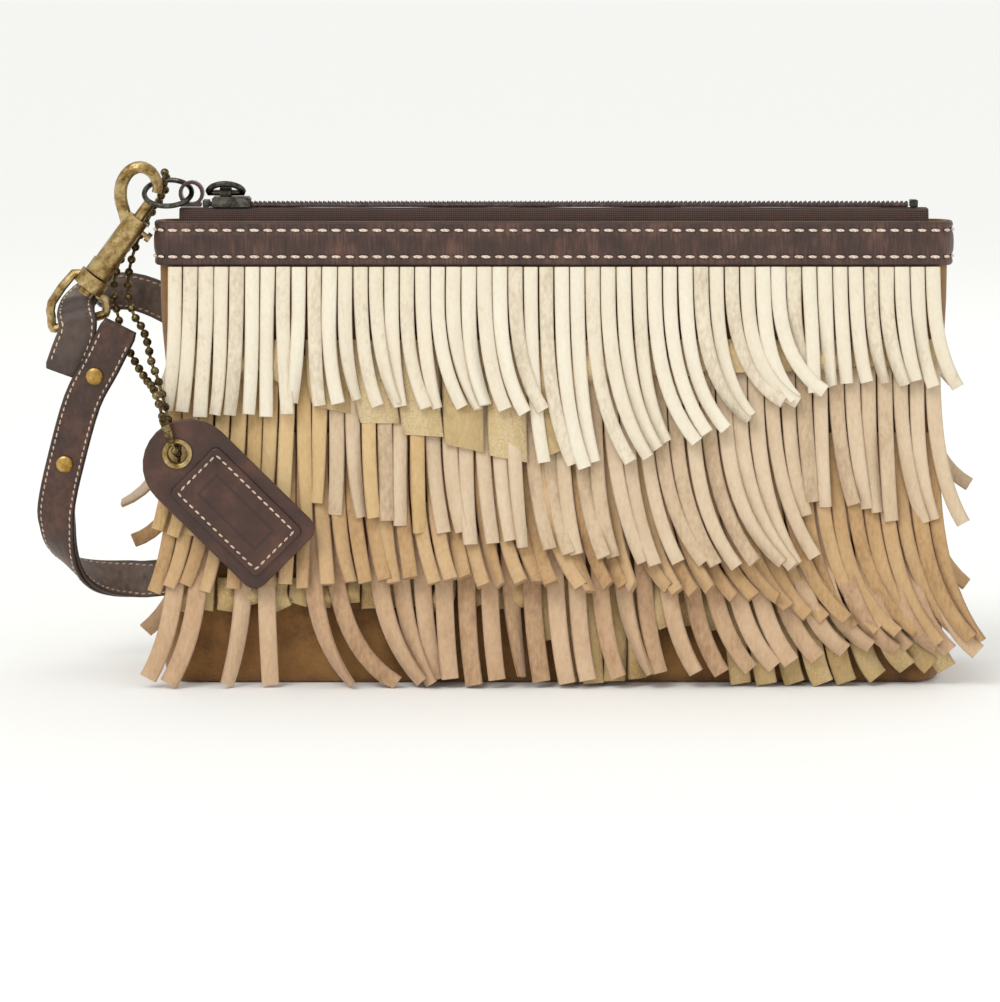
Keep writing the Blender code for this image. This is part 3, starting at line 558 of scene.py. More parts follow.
def bead_tree():
    """Beads spaced along lines and turned to face out from them: stitches, zip turns and chain balls."""
    tree = bpy.data.node_groups.new("beads_along_lines", "GeometryNodeTree")
    face = tree.interface
    face.new_socket("Geometry", in_out="OUTPUT", socket_type="NodeSocketGeometry")
    for name, kind, value in (
        ("Lines", "NodeSocketGeometry", None), ("Pitch", "NodeSocketFloat", 0.0035),
        ("Size", "NodeSocketVector", (0.001, 0.001, 0.001)), ("Lean", "NodeSocketFloat", 0.0),
        ("Uneven", "NodeSocketFloat", 0.05), ("Segments", "NodeSocketInt", 8),
        ("Seed", "NodeSocketInt", SEED), ("Material", "NodeSocketMaterial", None),
    ):
        socket = face.new_socket(name, in_out="INPUT", socket_type=kind)
        if value is not None:
            socket.default_value = value
    given = add(tree, "NodeGroupInput").outputs
    line = add(tree, "GeometryNodeMeshToCurve", {"Mesh": given["Lines"]})
    spaced = add(tree, "GeometryNodeCurveToPoints", {"Curve": line.outputs[0], "Length": given["Pitch"]},
                 mode="LENGTH")
    out = add(tree, "GeometryNodeInputNamedAttribute", {"Name": "out"}, data_type="FLOAT_VECTOR")
    run = add(tree, "FunctionNodeAlignRotationToVector", {"Vector": spaced.outputs["Tangent"]}, axis="X")
    turn = add(tree, "FunctionNodeAlignRotationToVector",
               {"Rotation": run.outputs[0], "Vector": out.outputs[0]}, axis="Z", pivot_axis="X")
    slant = add(tree, "FunctionNodeEulerToRotation")
    lean = add(tree, "ShaderNodeCombineXYZ", {"Z": given["Lean"]})
    tree.links.new(lean.outputs[0], slant.inputs[0])
    leaned = add(tree, "FunctionNodeRotateRotation",
                 {"Rotation": turn.outputs[0], "Rotate By": slant.outputs[0]}, rotation_space="LOCAL")
    rings = add(tree, "ShaderNodeMath", {0: given["Segments"], 1: RINGS_PER_SEGMENT}, operation="MULTIPLY")
    bead = add(tree, "GeometryNodeMeshUVSphere",
               {"Segments": given["Segments"], "Rings": rings.outputs[0], "Radius": 0.5})
    change = add(tree, "FunctionNodeRandomValue", {"Seed": given["Seed"]}, data_type="FLOAT")
    low = add(tree, "ShaderNodeMath", {0: 1.0, 1: given["Uneven"]}, operation="SUBTRACT")
    high = add(tree, "ShaderNodeMath", {0: 1.0, 1: given["Uneven"]}, operation="ADD")
    tree.links.new(low.outputs[0], change.inputs[2])
    tree.links.new(high.outputs[0], change.inputs[3])
    scale = add(tree, "ShaderNodeVectorMath", {0: given["Size"]}, operation="SCALE")
    tree.links.new(change.outputs[1], scale.inputs["Scale"])
    placed = add(tree, "GeometryNodeInstanceOnPoints", {
        "Points": spaced.outputs["Points"], "Instance": bead.outputs["Mesh"],
        "Rotation": leaned.outputs[0], "Scale": scale.outputs[0]})
    real = add(tree, "GeometryNodeRealizeInstances", {0: placed.outputs[0]})
    smooth = add(tree, "GeometryNodeSetShadeSmooth", {0: real.outputs[0]})
    done = add(tree, "GeometryNodeSetMaterial",
               {"Geometry": smooth.outputs[0], "Material": given["Material"]})
    end = add(tree, "NodeGroupOutput")
    tree.links.new(done.outputs[0], end.inputs[0])
    return tree


def beads(name, lines, pitch, size, finish, lean=0.0, uneven=0.05, segments=8, seed=SEED):
    """Place beads along lines of (point, outward direction), and return them as a plain mesh."""
    tree = bpy.data.node_groups.get("beads_along_lines") or bead_tree()
    points, edges, outs = [], [], []
    for line in lines:
        for i, (place, out) in enumerate(line):
            if i:
                edges.append((len(points) - 1, len(points)))
            points.append(tuple(c * MM for c in place))
            outs += list(out)
    guide = bpy.data.meshes.new(name + "_guide")
    guide.from_pydata(points, edges, [])
    guide.attributes.new("out", "FLOAT_VECTOR", "POINT").data.foreach_set("vector", outs)
    obj = bpy.data.objects.new(name + "_guide", guide)
    bpy.context.scene.collection.objects.link(obj)
    modifier = obj.modifiers.new("beads", "NODES")
    modifier.node_group = tree
    values = {"Pitch": pitch * MM, "Size": [s * MM for s in size], "Lean": lean, "Uneven": uneven,
              "Segments": segments, "Seed": seed, "Material": finish}
    for item in tree.interface.items_tree:
        if item.item_type == "SOCKET" and item.in_out == "INPUT" and item.name in values:
            modifier[item.identifier] = values[item.name]
    bpy.context.view_layer.update()
    mesh = bpy.data.meshes.new_from_object(obj.evaluated_get(bpy.context.evaluated_depsgraph_get()))
    mesh.name = name
    made = bpy.data.objects.new(name, mesh)
    bpy.context.scene.collection.objects.link(made)
    bpy.data.objects.remove(obj, do_unlink=True)
    if not len(mesh.polygons):
        raise RuntimeError(name + " has no beads")
    return made


# ---------------------------------------------------------------- settings

class StageSettings(bpy.types.PropertyGroup):
    """Camera and light."""
    lens: FloatProperty(name="Lens", description="Focal length on a 36 mm sensor", default=135.4,
                        unit="CAMERA")
    distance: FloatProperty(name="Distance", description="Camera to target", default=1.0, unit="LENGTH")
    elevation: FloatProperty(name="Elevation", description="Camera above level", default=math.radians(8),
                             subtype="ANGLE")
    target: FloatVectorProperty(name="Target", description="Point looked at",
                                default=(-0.0141, 0.0, 0.0462), unit="LENGTH")
    key: FloatProperty(name="Key light", description="Power of the key light", default=2.2, unit="POWER")
    world: FloatProperty(name="Surround", description="Strength of the white surround", default=0.8)
    sun: FloatProperty(name="Window", description="Strength of the broad window light", default=0.75)


class ColourSettings(bpy.types.PropertyGroup):
    """Middle colours of the suedes and the band leather."""
    cream: FloatVectorProperty(name="Cream suede", description="Top tier", subtype="COLOR",
                               default=linear("#e6dac3")[:3], min=0.0, max=1.0)
    beige: FloatVectorProperty(name="Beige suede", description="Third tier", subtype="COLOR",
                               default=linear("#cfb697")[:3], min=0.0, max=1.0)
    camel: FloatVectorProperty(name="Camel suede", description="Fourth tier", subtype="COLOR",
                               default=linear("#bd996d")[:3], min=0.0, max=1.0)
    rose: FloatVectorProperty(name="Rose suede", description="Fifth tier", subtype="COLOR",
                              default=linear("#c09d7b")[:3], min=0.0, max=1.0)
    band: FloatVectorProperty(name="Band leather", description="Bands round the mouth", subtype="COLOR",
                              default=linear("#43291f")[:3], min=0.0, max=1.0)


class FringeSettings(bpy.types.PropertyGroup):
    """Sizes of the cut strips."""
    thickness: FloatProperty(name="Thickness", description="Suede thickness", default=0.00115,
                             unit="LENGTH")
    cover: FloatProperty(name="Cover", description="Share of the pitch that a strip fills", default=0.975,
                         subtype="FACTOR")
    steps: IntProperty(name="Steps", description="Parts along each strip", default=14)


class StitchSettings(bpy.types.PropertyGroup):
    """Sizes of the stitches."""
    band_pitch: FloatProperty(name="Band pitch", description="Stitch spacing on the bands", default=0.0035,
                              unit="LENGTH")
    strap_pitch: FloatProperty(name="Strap pitch", description="Stitch spacing on the strap",
                               default=0.00185, unit="LENGTH")
    tag_pitch: FloatProperty(name="Tag pitch", description="Stitch spacing on the tag", default=0.0021,
                             unit="LENGTH")


class ChainSettings(bpy.types.PropertyGroup):
    """Sizes of the ball chain."""
    ball: FloatProperty(name="Ball", description="Ball diameter", default=0.0023, unit="LENGTH")
    pitch: FloatProperty(name="Pitch", description="Ball spacing", default=0.0034, unit="LENGTH")


# ---------------------------------------------------------------- operators

class POUCH_OT_finishes(bpy.types.Operator):
    """Every finish of the pouch, kept under the name of what wears it"""
    bl_idname = "pouch.finishes"
    bl_label = "Finishes"

    def execute(self, context):
        colour = context.scene.pouch_colour
        FINISH.update(
            fringe_cream=suede("napped_split_suede_cream", "#f2ead8", colour.cream, "#b5a083"),
            fringe_beige=suede("napped_split_suede_beige", "#e3cfb4", colour.beige, "#94785a"),
            fringe_camel=suede("napped_split_suede_camel", "#d6b78d", colour.camel, "#80593a"),
            fringe_warm=suede("napped_split_suede_honey", "#e0c496", "#ccab78", "#8f6c42"),
            fringe_rose=suede("napped_split_suede_rose", "#dbbf9f", colour.rose, "#82603f"),
            fringe_gold=suede("foiled_split_suede", "#dcc8a4", "#c6ad82", "#8d7047", "#cdb173"),
            fringe_base_gold=suede("foiled_split_suede_base", "#d6bf93", "#bb9f71", "#80623a", "#c2a567"),
            body=body_suede("napped_body_suede"),
            band=waxed_leather("waxed_calf_band", "#2a1711", colour.band, "#67463a", (0.35, 1, 3.5)),
            strap=waxed_leather("waxed_calf_strap", "#29150d", "#43271b", "#5e3c2d", (1, 1, 1.6), 0.36),
            strap_inside=waxed_leather("worn_strap_lining_leather", "#4a3d36", "#6e5f56", "#85766a",
                                       (1, 1, 1.5), 0.6, "#2c140d"),
            tag=tag_leather("pressed_bridle_leather"),
            tag_patch=tag_leather("pressed_bridle_leather_patch", True),
            tape=woven("woven_zip_tape", "#5f463d", "#2f1f1b", 0.55),
            lining=woven("plain_woven_lining", "#6b4a36", "#3c281c", 0.5),
            coil=nylon("dyed_nylon_coil"),
            thread=thread("waxed_linen_thread", "#f0dfd0", "#bfa38e"),
            tag_thread=thread("waxed_linen_thread_tag", "#e6cdb6", "#a98d74"),
            brass=old_metal("antiqued_cast_brass", "#c9b384", "#9d8252", "#533f22", 0.47, 0.32),
            rivet=old_metal("rubbed_brass", "#c9a763", "#a58142", "#6b4f22", 0.42, 0.28),
            gunmetal=old_metal("blackened_steel", "#78746a", "#4b4842", "#262420", 0.5, 0.28),
            chain=old_metal("blackened_brass_chain", "#9c8a60", "#5f4f33", "#2c2314", 0.5, 0.3),
            paper=floor_paper("backdrop_paper"),
        )
        return {"FINISHED"}


class POUCH_OT_stage(bpy.types.Operator):
    """Camera, backdrop and lights"""
    bl_idname = "pouch.stage"
    bl_label = "Stage"

    def execute(self, context):
        wanted = context.scene.pouch_stage
        scene = context.scene
        camera = bpy.data.objects.new("camera", bpy.data.cameras.new("camera"))
        scene.collection.objects.link(camera)
        scene.camera = camera
        camera.data.lens = wanted.lens
        target = Vector(wanted.target)
        camera.location = target + wanted.distance * Vector(
            (0, -math.cos(wanted.elevation), math.sin(wanted.elevation)))
        camera.rotation_euler = (target - camera.location).to_track_quat("-Z", "Y").to_euler()
        camera.data.clip_start = 0.01
        corners = [(x * FLOOR_HALF, y * FLOOR_HALF, 0) for x, y in ((-1, -1), (1, -1), (1, 1), (-1, 1))]
        floor = new_mesh("floor", corners, [(0, 1, 2, 3)], FINISH["paper"], smooth=False)
        for name, place, size, power, colour in (
            ("key_light", (-0.55, -0.75, 0.95), 0.7, wanted.key, "#fffaf3"),
            ("fill_light", (0.9, -0.6, 0.5), 0.9, wanted.key * 0.35, "#f6f9ff"),
            ("rim_light", (0.2, 0.8, 0.9), 0.8, wanted.key * 0.45, "#ffffff"),
        ):
            light = bpy.data.lights.new(name, "AREA")
            light.size = size
            light.energy = power
            light.color = linear(colour)[:3]
            lamp = bpy.data.objects.new(name, light)
            lamp.location = place
            lamp.rotation_euler = (Vector((0, 0, 0.05)) - lamp.location).to_track_quat("-Z", "Y").to_euler()
            scene.collection.objects.link(lamp)
        window = bpy.data.lights.new("window_light", "SUN")
        window.energy = wanted.sun
        window.angle = math.radians(30)
        lamp = bpy.data.objects.new("window_light", window)
        lamp.rotation_euler = Vector((-0.5, -0.75, 1.1)).to_track_quat("Z", "Y").to_euler()
        scene.collection.objects.link(lamp)
        world = bpy.data.worlds.new("white_surround")
        world.use_nodes = True
        scene.world = world
        back = world.node_tree.nodes["Background"]
        back.inputs["Color"].default_value = linear("#fbfcfa")
        back.inputs["Strength"].default_value = wanted.world
        scene.view_settings.view_transform = "Standard"
        return {"FINISHED"}


class POUCH_OT_chain(bpy.types.Operator):
    """Ball chain of the hang tag, with its coupling"""
    bl_idname = "pouch.chain"
    bl_label = "Ball chain"

    def execute(self, context):
        wanted = context.scene.pouch_chain
        path = [Vector(p) for p in smooth_path(CHAIN_ROUTE, 4)]
        ball = wanted.ball / MM
        line = [(p, (0, -1, 0)) for p in path]
        balls = beads("ball_chain_beads", [line], wanted.pitch / MM, (ball, ball, ball), FINISH["chain"],
                      uneven=0.0, segments=12)
        links = wire("chain_links", path, 0.42, FINISH["chain"], sides=8)
        join = [balls, links]
        chain = joined("ball_chain_loop", join)
        start, end = Vector(CHAIN_ROUTE[0]), Vector(CHAIN_ROUTE[-1])
        coupling = lathe("chain_coupling", start + (end - start) * 0.05, start + (end - start) * 0.95, (
            (0.0, 0.5), (0.02, 1.0), (0.08, 1.25), (0.3, 1.25), (0.33, 1.1), (0.36, 1.25), (0.64, 1.25),
            (0.67, 1.1), (0.7, 1.25), (0.92, 1.25), (0.98, 1.0), (1.0, 0.5)), FINISH["chain"], 20)
        settle(coupling, "ring", "chain_metal", "chain_connector")
        settle(chain, "ring", "chain_metal", "ball_chain")
        return {"FINISHED"}


def joined(name, objects):
    """Join plain meshes into one object at the origin."""
    bm = bmesh.new()
    finishes = []
    for obj in objects:
        start = len(bm.faces)
        bm.from_mesh(obj.data)
        bm.faces.ensure_lookup_table()
        for face in bm.faces[start:]:
            face.material_index += len(finishes)
        finishes += list(obj.data.materials)
        bpy.data.objects.remove(obj, do_unlink=True)
    mesh = bpy.data.meshes.new(name)
    bm.to_mesh(mesh)
    bm.free()
    for finish in finishes:
        mesh.materials.append(finish)
    made = bpy.data.objects.new(name, mesh)
    bpy.context.scene.collection.objects.link(made)
    return made


def sagging_bag(name, inset, top, wall, finish):
    """A lofted bag, open at its top, with dented ends and slack faces; inset is from the outside."""
    steps = [0.0, 0.25, 0.9, 1.9, 3.2, 5.0, 8.0]
    steps += [12 + 8 * i for i in range(12)] + [106, 109, 113, MOUTH_Z]
    heights = [inset + z * (top - inset) / MOUTH_Z for z in steps]
    rings = []
    for z in heights:
        above = z - inset
        shrink = 3.0 - math.sqrt(max(9.0 - (3.0 - above) ** 2, 0.0)) if above < 3 else 0.0
        front = plan_half(z, -shrink - inset, -1, 10)
        back = plan_half(z, -shrink - inset, 1, 10)
        belly = math.sin(math.pi * z / BODY_HEIGHT) if z < BODY_HEIGHT else 0.0
        ring = []
        for x, y in front + back[::-1][1:-1]:
            near_end = max(0.0, 1 - (HALF_LENGTH - abs(x)) / 16.0)
            fold = 0.5 + 0.5 * math.cos(y * 0.25) * math.cos(z * 0.09)
            dent = 2.6 * belly * near_end ** 2 * fold
            wave = noise.noise(Vector((x * 0.03, z * 0.04, 12.0 if y > 0 else 3.0)))
            slack = 0.5 * belly * (0.5 + wave) if abs(y) > 1 else 0.0
            ring.append((x - math.copysign(dent, x), y - math.copysign(slack, y), z))
        rings.append(ring)
    bag = loft(name, rings, finish, capped=False)
    bm = bmesh.new()
    bm.from_mesh(bag.data)
    bm.verts.ensure_lookup_table()
    bm.faces.new([bm.verts[i] for i in range(len(rings[0]))])
    bmesh.ops.recalc_face_normals(bm, faces=bm.faces)
    if min(bm.faces, key=lambda f: f.calc_center_median().z).normal.z > 0:
        bmesh.ops.reverse_faces(bm, faces=bm.faces)
    bm.to_mesh(bag.data)
    bm.free()
    thicken = bag.modifiers.new("wall", "SOLIDIFY")
    thicken.thickness = wall * MM
    thicken.offset = -1.0
    bag.data.set_sharp_from_angle(angle=math.radians(60))
    return bag


class POUCH_OT_body(bpy.types.Operator):
    """Suede body and its lining: lofted bags that sag in at their ends"""
    bl_idname = "pouch.body"
    bl_label = "Body"

    def execute(self, context):
        body = sagging_bag("suede_body", 0.0, MOUTH_Z, 0.9, FINISH["body"])
        settle(body, "pouch", "body_suede", "pouch_shell")
        lining = sagging_bag("cloth_lining", 1.3, 117.0, 0.3, FINISH["lining"])
        settle(lining, "pouch", "lining_cloth", "lining")
        return {"FINISHED"}


def band_points(side, z):
    """Points along one band's outside with their outward directions, at a height."""
    path = plan_half(BODY_HEIGHT + 1, 1.6, side, 8, 0.35)
    line = []
    for i, (x, y) in enumerate(path):
        x0, y0 = path[max(i - 1, 0)]
        x1, y1 = path[min(i + 1, len(path) - 1)]
        out = Vector(((y1 - y0) * -side, (x1 - x0) * side, 0)).normalized()
        line.append((Vector((x, y, z)), out))
    return line


class POUCH_OT_bands(bpy.types.Operator):
    """Waxed leather bands round the mouth, with two rows of stitches each"""
    bl_idname = "pouch.bands"
    bl_label = "Bands"

    def execute(self, context):
        pitch = context.scene.pouch_stitch.band_pitch / MM
        outline = []
        count = 22
        for i in range(count + 1):
            z = BAND_BOTTOM_Z + 0.05 + (MOUTH_Z - BAND_BOTTOM_Z - 0.1) * i / count
            pull = sum(0.34 * math.exp(-((z - row) / 0.75) ** 2) for row in BAND_ROWS)
            rim = min(z - BAND_BOTTOM_Z, MOUTH_Z - z)
            curl = 0.45 * max(0.0, 1 - rim / 0.7) ** 2
            middle = 0.22 * math.sin(math.pi * min(max((z - BAND_ROWS[1]) / 6.9, 0.0), 1.0))
            outline.append((-pull - curl + middle - 0.15, z))
        outline += [(-1.25, MOUTH_Z - 0.1), (-1.25, BAND_BOTTOM_Z + 0.1)]
        for side, face in ((-1, "front"), (1, "back")):
            rings, wear_and_shade = [], []
            for place, out in band_points(side, 0.0):
                crease = noise.noise(Vector((place.x * 0.55, side, 0.0))) * 0.12
                ring = []
                for grow, z in outline:
                    wave = 0.1 * noise.noise(Vector((place.x * 0.05, z * 0.1, side * 5.0)))
                    lift = grow + (crease if grow > -1 else 0.0) + wave
                    ring.append(place + out * min(lift, 0.2) + Vector((0, 0, z)))
                    wear_and_shade.append(max(0.0, 1 - min(z - BAND_BOTTOM_Z, MOUTH_Z - z) / 0.8))
                rings.append(ring)
            band = loft("leather_band_" + face, rings, FINISH["band"])
            paint(band, "wear_and_shade", "POINT", wear_and_shade)
            settle(band, "pouch", "leather", "band_" + face)
            lines = []
            for row in BAND_ROWS:
                lines.append([(place + out * -0.12, out) for place, out in band_points(side, row)][2:-2])
            rows = beads("band_stitches_" + face, lines, pitch, (2.55, 0.85, 0.75), FINISH["thread"],
                         lean=0.05 * side, uneven=0.06)
            settle(rows, "pouch", "leather")
        return {"FINISHED"}


class POUCH_OT_zip(bpy.types.Operator):
    """Woven tapes, coil turns, slider, pull and stops"""
    bl_idname = "pouch.zip"
    bl_label = "Zip"

    def execute(self, context):
        for side, face in ((-1, "front"), (1, "back")):
            tape = ((0.45, 123.9), (2.2, 123.95), (3.3, 123.7), (3.7, 122.8), (4.5, 118.6), (4.0, 118.5),
                    (3.2, 122.6), (2.8, 123.3), (0.5, 123.4))
            rings = []
            for i in range(99):
                x = -98.0 + 2.0 * i
                lift = 0.35 * noise.noise(Vector((x * 0.06, side, 7.0)))
                rings.append([(x, side * (y + 0.1 * lift * (z < 123)), z + lift * 0.5 * (y > 2))
                              for y, z in tape])
            strip = loft("zip_tape_cloth_" + face, rings, FINISH["tape"])
            strip.data.set_sharp_from_angle(angle=math.radians(50))
            settle(strip, "pouch", "zip_tape", "zip_tape_" + face)
            shift = 0.3 if side > 0 else -0.3
            line = [(Vector((x + shift, side * 1.2, 124.95)), (0, 0, 1)) for x in (-89.6, 92.4)]
            turns = beads("zip_turns_" + face, [line], 1.2, (0.72, 1.7, 1.6), FINISH["coil"],
                          lean=0.14 * side, uneven=0.03)
            cord = wire("zip_coil_core_" + face, [(x, side * 1.5, 124.7) for x in (-89.6, 0, 92.6)], 0.5,
                        FINISH["coil"], sides=8)
            coil = joined("zip_coil_turns_" + face, [turns, cord])
            settle(coil, "pouch", "zip_coil", "zip_coil_" + face)
            stop = softened("top_stop_" + face, "zip_top_stop_" + face, FINISH["gunmetal"], 0.25)
            settle(stop, "pouch", "gunmetal", "top_stop_" + face)
        settle(softened("bottom_stop", "zip_bottom_stop", FINISH["gunmetal"], 0.3), "pouch", "gunmetal",
               "bottom_stop")
        settle(softened("slider", "zip_slider", FINISH["gunmetal"], 0.35), "slider", "gunmetal", "slider")
        lean = math.radians(50)
        up = Vector((0.0, -math.sin(lean), math.cos(lean)))
        centre = Vector((-86.0, 0.0, 127.9))
        bow = [centre + Vector((4.6 * math.cos(a), 0, 0)) + up * 3.8 * math.sin(a)
               for a in (math.pi * i / 20 for i in range(21))]
        bow += [centre + Vector((x, 0, 0)) for x in (-3.0, -1.0, 1.0, 3.0)]
        settle(wire("zip_pull", bow, 0.8, FINISH["gunmetal"], closed=True), "pull", "gunmetal", "pull")
        return {"FINISHED"}


class POUCH_OT_hardware(bpy.types.Operator):
    """Ring, leather tab, snap hook, bolt and swivel eye"""
    bl_idname = "pouch.hardware"
    bl_label = "Strap hardware"

    def execute(self, context):
        lean = math.radians(60)
        across = Vector((0.0, math.sin(lean), math.cos(lean)))
        centre = Vector((-101.2, 0.0, 127.8))
        loop = [centre + 6.2 * (Vector((math.cos(a), 0, 0)) + across * math.sin(a))
                for a in (2 * math.pi * i / 56 for i in range(56))]
        settle(wire("hook_ring_wire", loop, 0.7, FINISH["gunmetal"], closed=True), "ring", "gunmetal",
               "hook_ring")
        tab = softened("ring_tab", "leather_ring_tab", FINISH["strap"], 0.3)
        settle(tab, "pouch", "leather", "ring_tab")
        for node, name, body, bevel in (
            ("snap_hook", "cast_snap_hook", "hook", 0.3), ("bolt", "hook_bolt", "bolt", 0.25),
            ("swivel_eye", "cast_swivel_eye", "eye", 0.25),
        ):
            settle(softened(node, name, FINISH["brass"], bevel, 38), body, "brass", node)
        spring = softened("bolt_spring", "hook_spring", FINISH["gunmetal"], 0.05)
        settle(spring, "hook", "gunmetal", "bolt_spring")
        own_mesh(spring)
        return {"FINISHED"}


def strap_rows():
    """Rows of centre line and width direction, from the front end round to the tail."""
    front = (
        (-113.4, -6.6, 93.5, 0.86, 0, -0.50), (-118.5, -5.9, 83.5, 0.88, 0, -0.47),
        (-124.1, -3.7, 73.2, 0.91, 0, -0.41), (-129.2, -0.4, 56.5, 0.98, 0, -0.20),
    )
    slant = Vector((1, 0, -1)).normalized()
    first = Vector((-1, 0, -1)).normalized()
    back = Vector((0, 1, 0))
    wrap = []
    for i in range(9):
        a = math.pi * i / 8
        turned = first * math.cos(a) + back * math.sin(a)
        place = (Vector((-132.0, 2.0, 45.0)) + slant * 10.5 * a
                 + 10.5 * (first * math.sin(a) + back * (1 - math.cos(a))))
        wrap.append((*place, *((slant - turned) / math.sqrt(2))))
    rear = (
        (-96.0, 26.5, 23.2, 0.10, 0, -1.0), (-83.0, 28.6, 29.5, 0.62, 0, -0.78),
        (-75.5, 29.0, 42.0, 0.95, 0, -0.30), (-75.0, 28.0, 57.0, 1.0, 0, 0.15),
        (-80.5, 26.0, 72.0, 0.90, 0, 0.43), (-89.5, 22.5, 85.5, 0.76, 0, 0.65),
        (-100.0, 18.0, 95.0, 0.55, 0, 0.83), (-110.0, 13.6, 100.3, 0.18, 0, 0.98),
        (-118.0, 11.6, 101.0, -0.60, 0, 0.80), (-122.4, 8.8, 100.6, -0.90, 0, 0.35),
        (-124.9, 5.4, 99.7, -0.96, 0, -0.15), (-125.8, 1.8, 97.9, -0.96, 0, -0.27),
    )
    width = (-math.cos(BAR_TILT), 0.0, -math.sin(BAR_TILT))
    up = Vector((-math.sin(BAR_TILT), 0.0, math.cos(BAR_TILT)))
    bend = 3.05
    loop = []
    for i in range(4):
        a = math.radians(120 + 20 * i)
        loop.append((*(BAR_CENTRE + Vector((0, bend * math.cos(a), 0)) + up * bend * math.sin(a)), *width))
    tail = ((-125.4, -3.1, 90.6, *width), (-126.9, -3.0, 87.0, -0.97, 0, -0.1),
            (-129.3, -2.9, 80.5, -0.95, 0, 0.3))
    return smooth_path([*front, *wrap, *rear, *loop, *tail], STRAP_STEPS)


def strap_frame(rows, i):
    """Centre, width direction and outward normal at one row of the strap."""
    place, width = Vector(rows[i][:3]), Vector(rows[i][3:]).normalized()
    run = Vector(rows[min(i + 1, len(rows) - 1)][:3]) - Vector(rows[max(i - 1, 0)][:3])
    normal = run.cross(width).normalized()
    return place, normal.cross(run).normalized(), normal


# Half of a strap ply's section: across, share of its thickness, and whether the edge paint covers it
HALF_OUTLINE = ((-5.0, 0.0, 1), (-4.97, 0.55, 1), (-4.75, 0.86, 1), (-4.3, 0.97, 0), (-3.9, 0.9, 0),
                (-3.5, 0.97, 0), (-1.5, 1.0, 0))
STRAP_OUTLINE = HALF_OUTLINE + tuple((-across, lift, dark) for across, lift, dark in HALF_OUTLINE[::-1])
STRAP_STITCH_ROW = 3.9
# The loop over the bar and the tail, whose inside face gets painted shade, are this many spans at the end
PAINTED_SHADE_SPANS = 8


class POUCH_OT_strap(bpy.types.Operator):
    """Two-ply wrist strap with painted edges, edge stitches and rivets"""
    bl_idname = "pouch.strap"
    bl_label = "Wrist strap"

    def execute(self, context):
        pitch = context.scene.pouch_stitch.strap_pitch / MM
        rows = strap_rows()
        for name, node, slot, finish, near, far in (
            ("strap_top_ply", "strap_outer", "leather", "strap", 0.02, 1.25),
            ("strap_back_ply", "strap_lining", "strap_lining", "strap_inside", -0.02, -1.25),
        ):
            rings, wear_and_shade = [], []
            for i in range(len(rows)):
                place, width, out = strap_frame(rows, i)
                end = 1.0 if 1 <= i <= len(rows) - 2 else 0.9
                ring = []
                for across, lift, dark in STRAP_OUTLINE:
                    offset = near + (far - near) * lift
                    ring.append(place + width * across * end + out * offset)
                    # Painted shade: the back ply's inside along the loop and tail is darkened, where it
                    # lies in the front leg's shadow
                    shaded_fold = far < 0 and i > len(rows) - PAINTED_SHADE_SPANS * STRAP_STEPS
                    wear_and_shade.append(0.85 if shaded_fold else float(dark))
                rings.append(ring)
            ply = loft(name, rings, FINISH[finish])
            paint(ply, "wear_and_shade", "POINT", wear_and_shade)
            settle(ply, "strap", slot, node)
            lines = []
            for across in (-STRAP_STITCH_ROW, STRAP_STITCH_ROW):
                line = []
                for i in range(2, len(rows) - 2):
                    place, width, out = strap_frame(rows, i)
                    face = out if far > 0 else -out
                    line.append((place + width * across + out * (near + (far - near) * 0.93), face))
                lines.append(line)
            stitches = beads("strap_stitches_" + ("top" if far > 0 else "back"), lines, pitch,
                             (1.45, 0.5, 0.42), FINISH["tag_thread"], lean=0.12, uneven=0.08, segments=6)
            settle(stitches, "strap", slot)
        cap = [(0.0, 1.5), (0.0, 2.1), (0.3, 2.35), (0.55, 2.2), (0.75, 1.7), (0.9, 0.9), (1.0, 0.2)]
        step = STRAP_STEPS
        for node, share in (("rivet_upper", 4 / 3 * step), ("rivet_lower", 3.0 * step)):
            i = int(share)
            near_place, _, out = strap_frame(rows, i)
            further = strap_frame(rows, i + 1)[0]
            place = near_place + (further - near_place) * (share - i)
            head = lathe(node + "_head", place + out * 1.2, place + out * 2.35, cap, FINISH["rivet"], 24)
            burr = lathe(node + "_burr", place - out * 1.2, place - out * 2.2,
                         [(s, r * 0.76) for s, r in cap], FINISH["rivet"], 20)
            settle(joined(node + "_cap", [head, burr]), "strap", "brass", node)
        return {"FINISHED"}


def tag_point(long, side, out=0.0):
    """A point on the tag: along it from the eyelet, across it, and out towards the front."""
    run = Vector((1, 0, -1)).normalized()
    front = Vector((0, -1, 0))
    return EYELET_CENTRE + run * long + front.cross(run) * side + front * out


def oblong(low, high, half, radius, steps=6):
    """An oblong outline with rounded corners, along and across the tag."""
    points = []
    for cx, cy, start in ((high - radius, half - radius, 0), (low + radius, half - radius, 90),
                          (low + radius, -half + radius, 180), (high - radius, -half + radius, 270)):
        for i in range(steps + 1):
            a = math.radians(start + 90 * i / steps)
            points.append((cx + radius * math.cos(a), cy + radius * math.sin(a)))
    return points


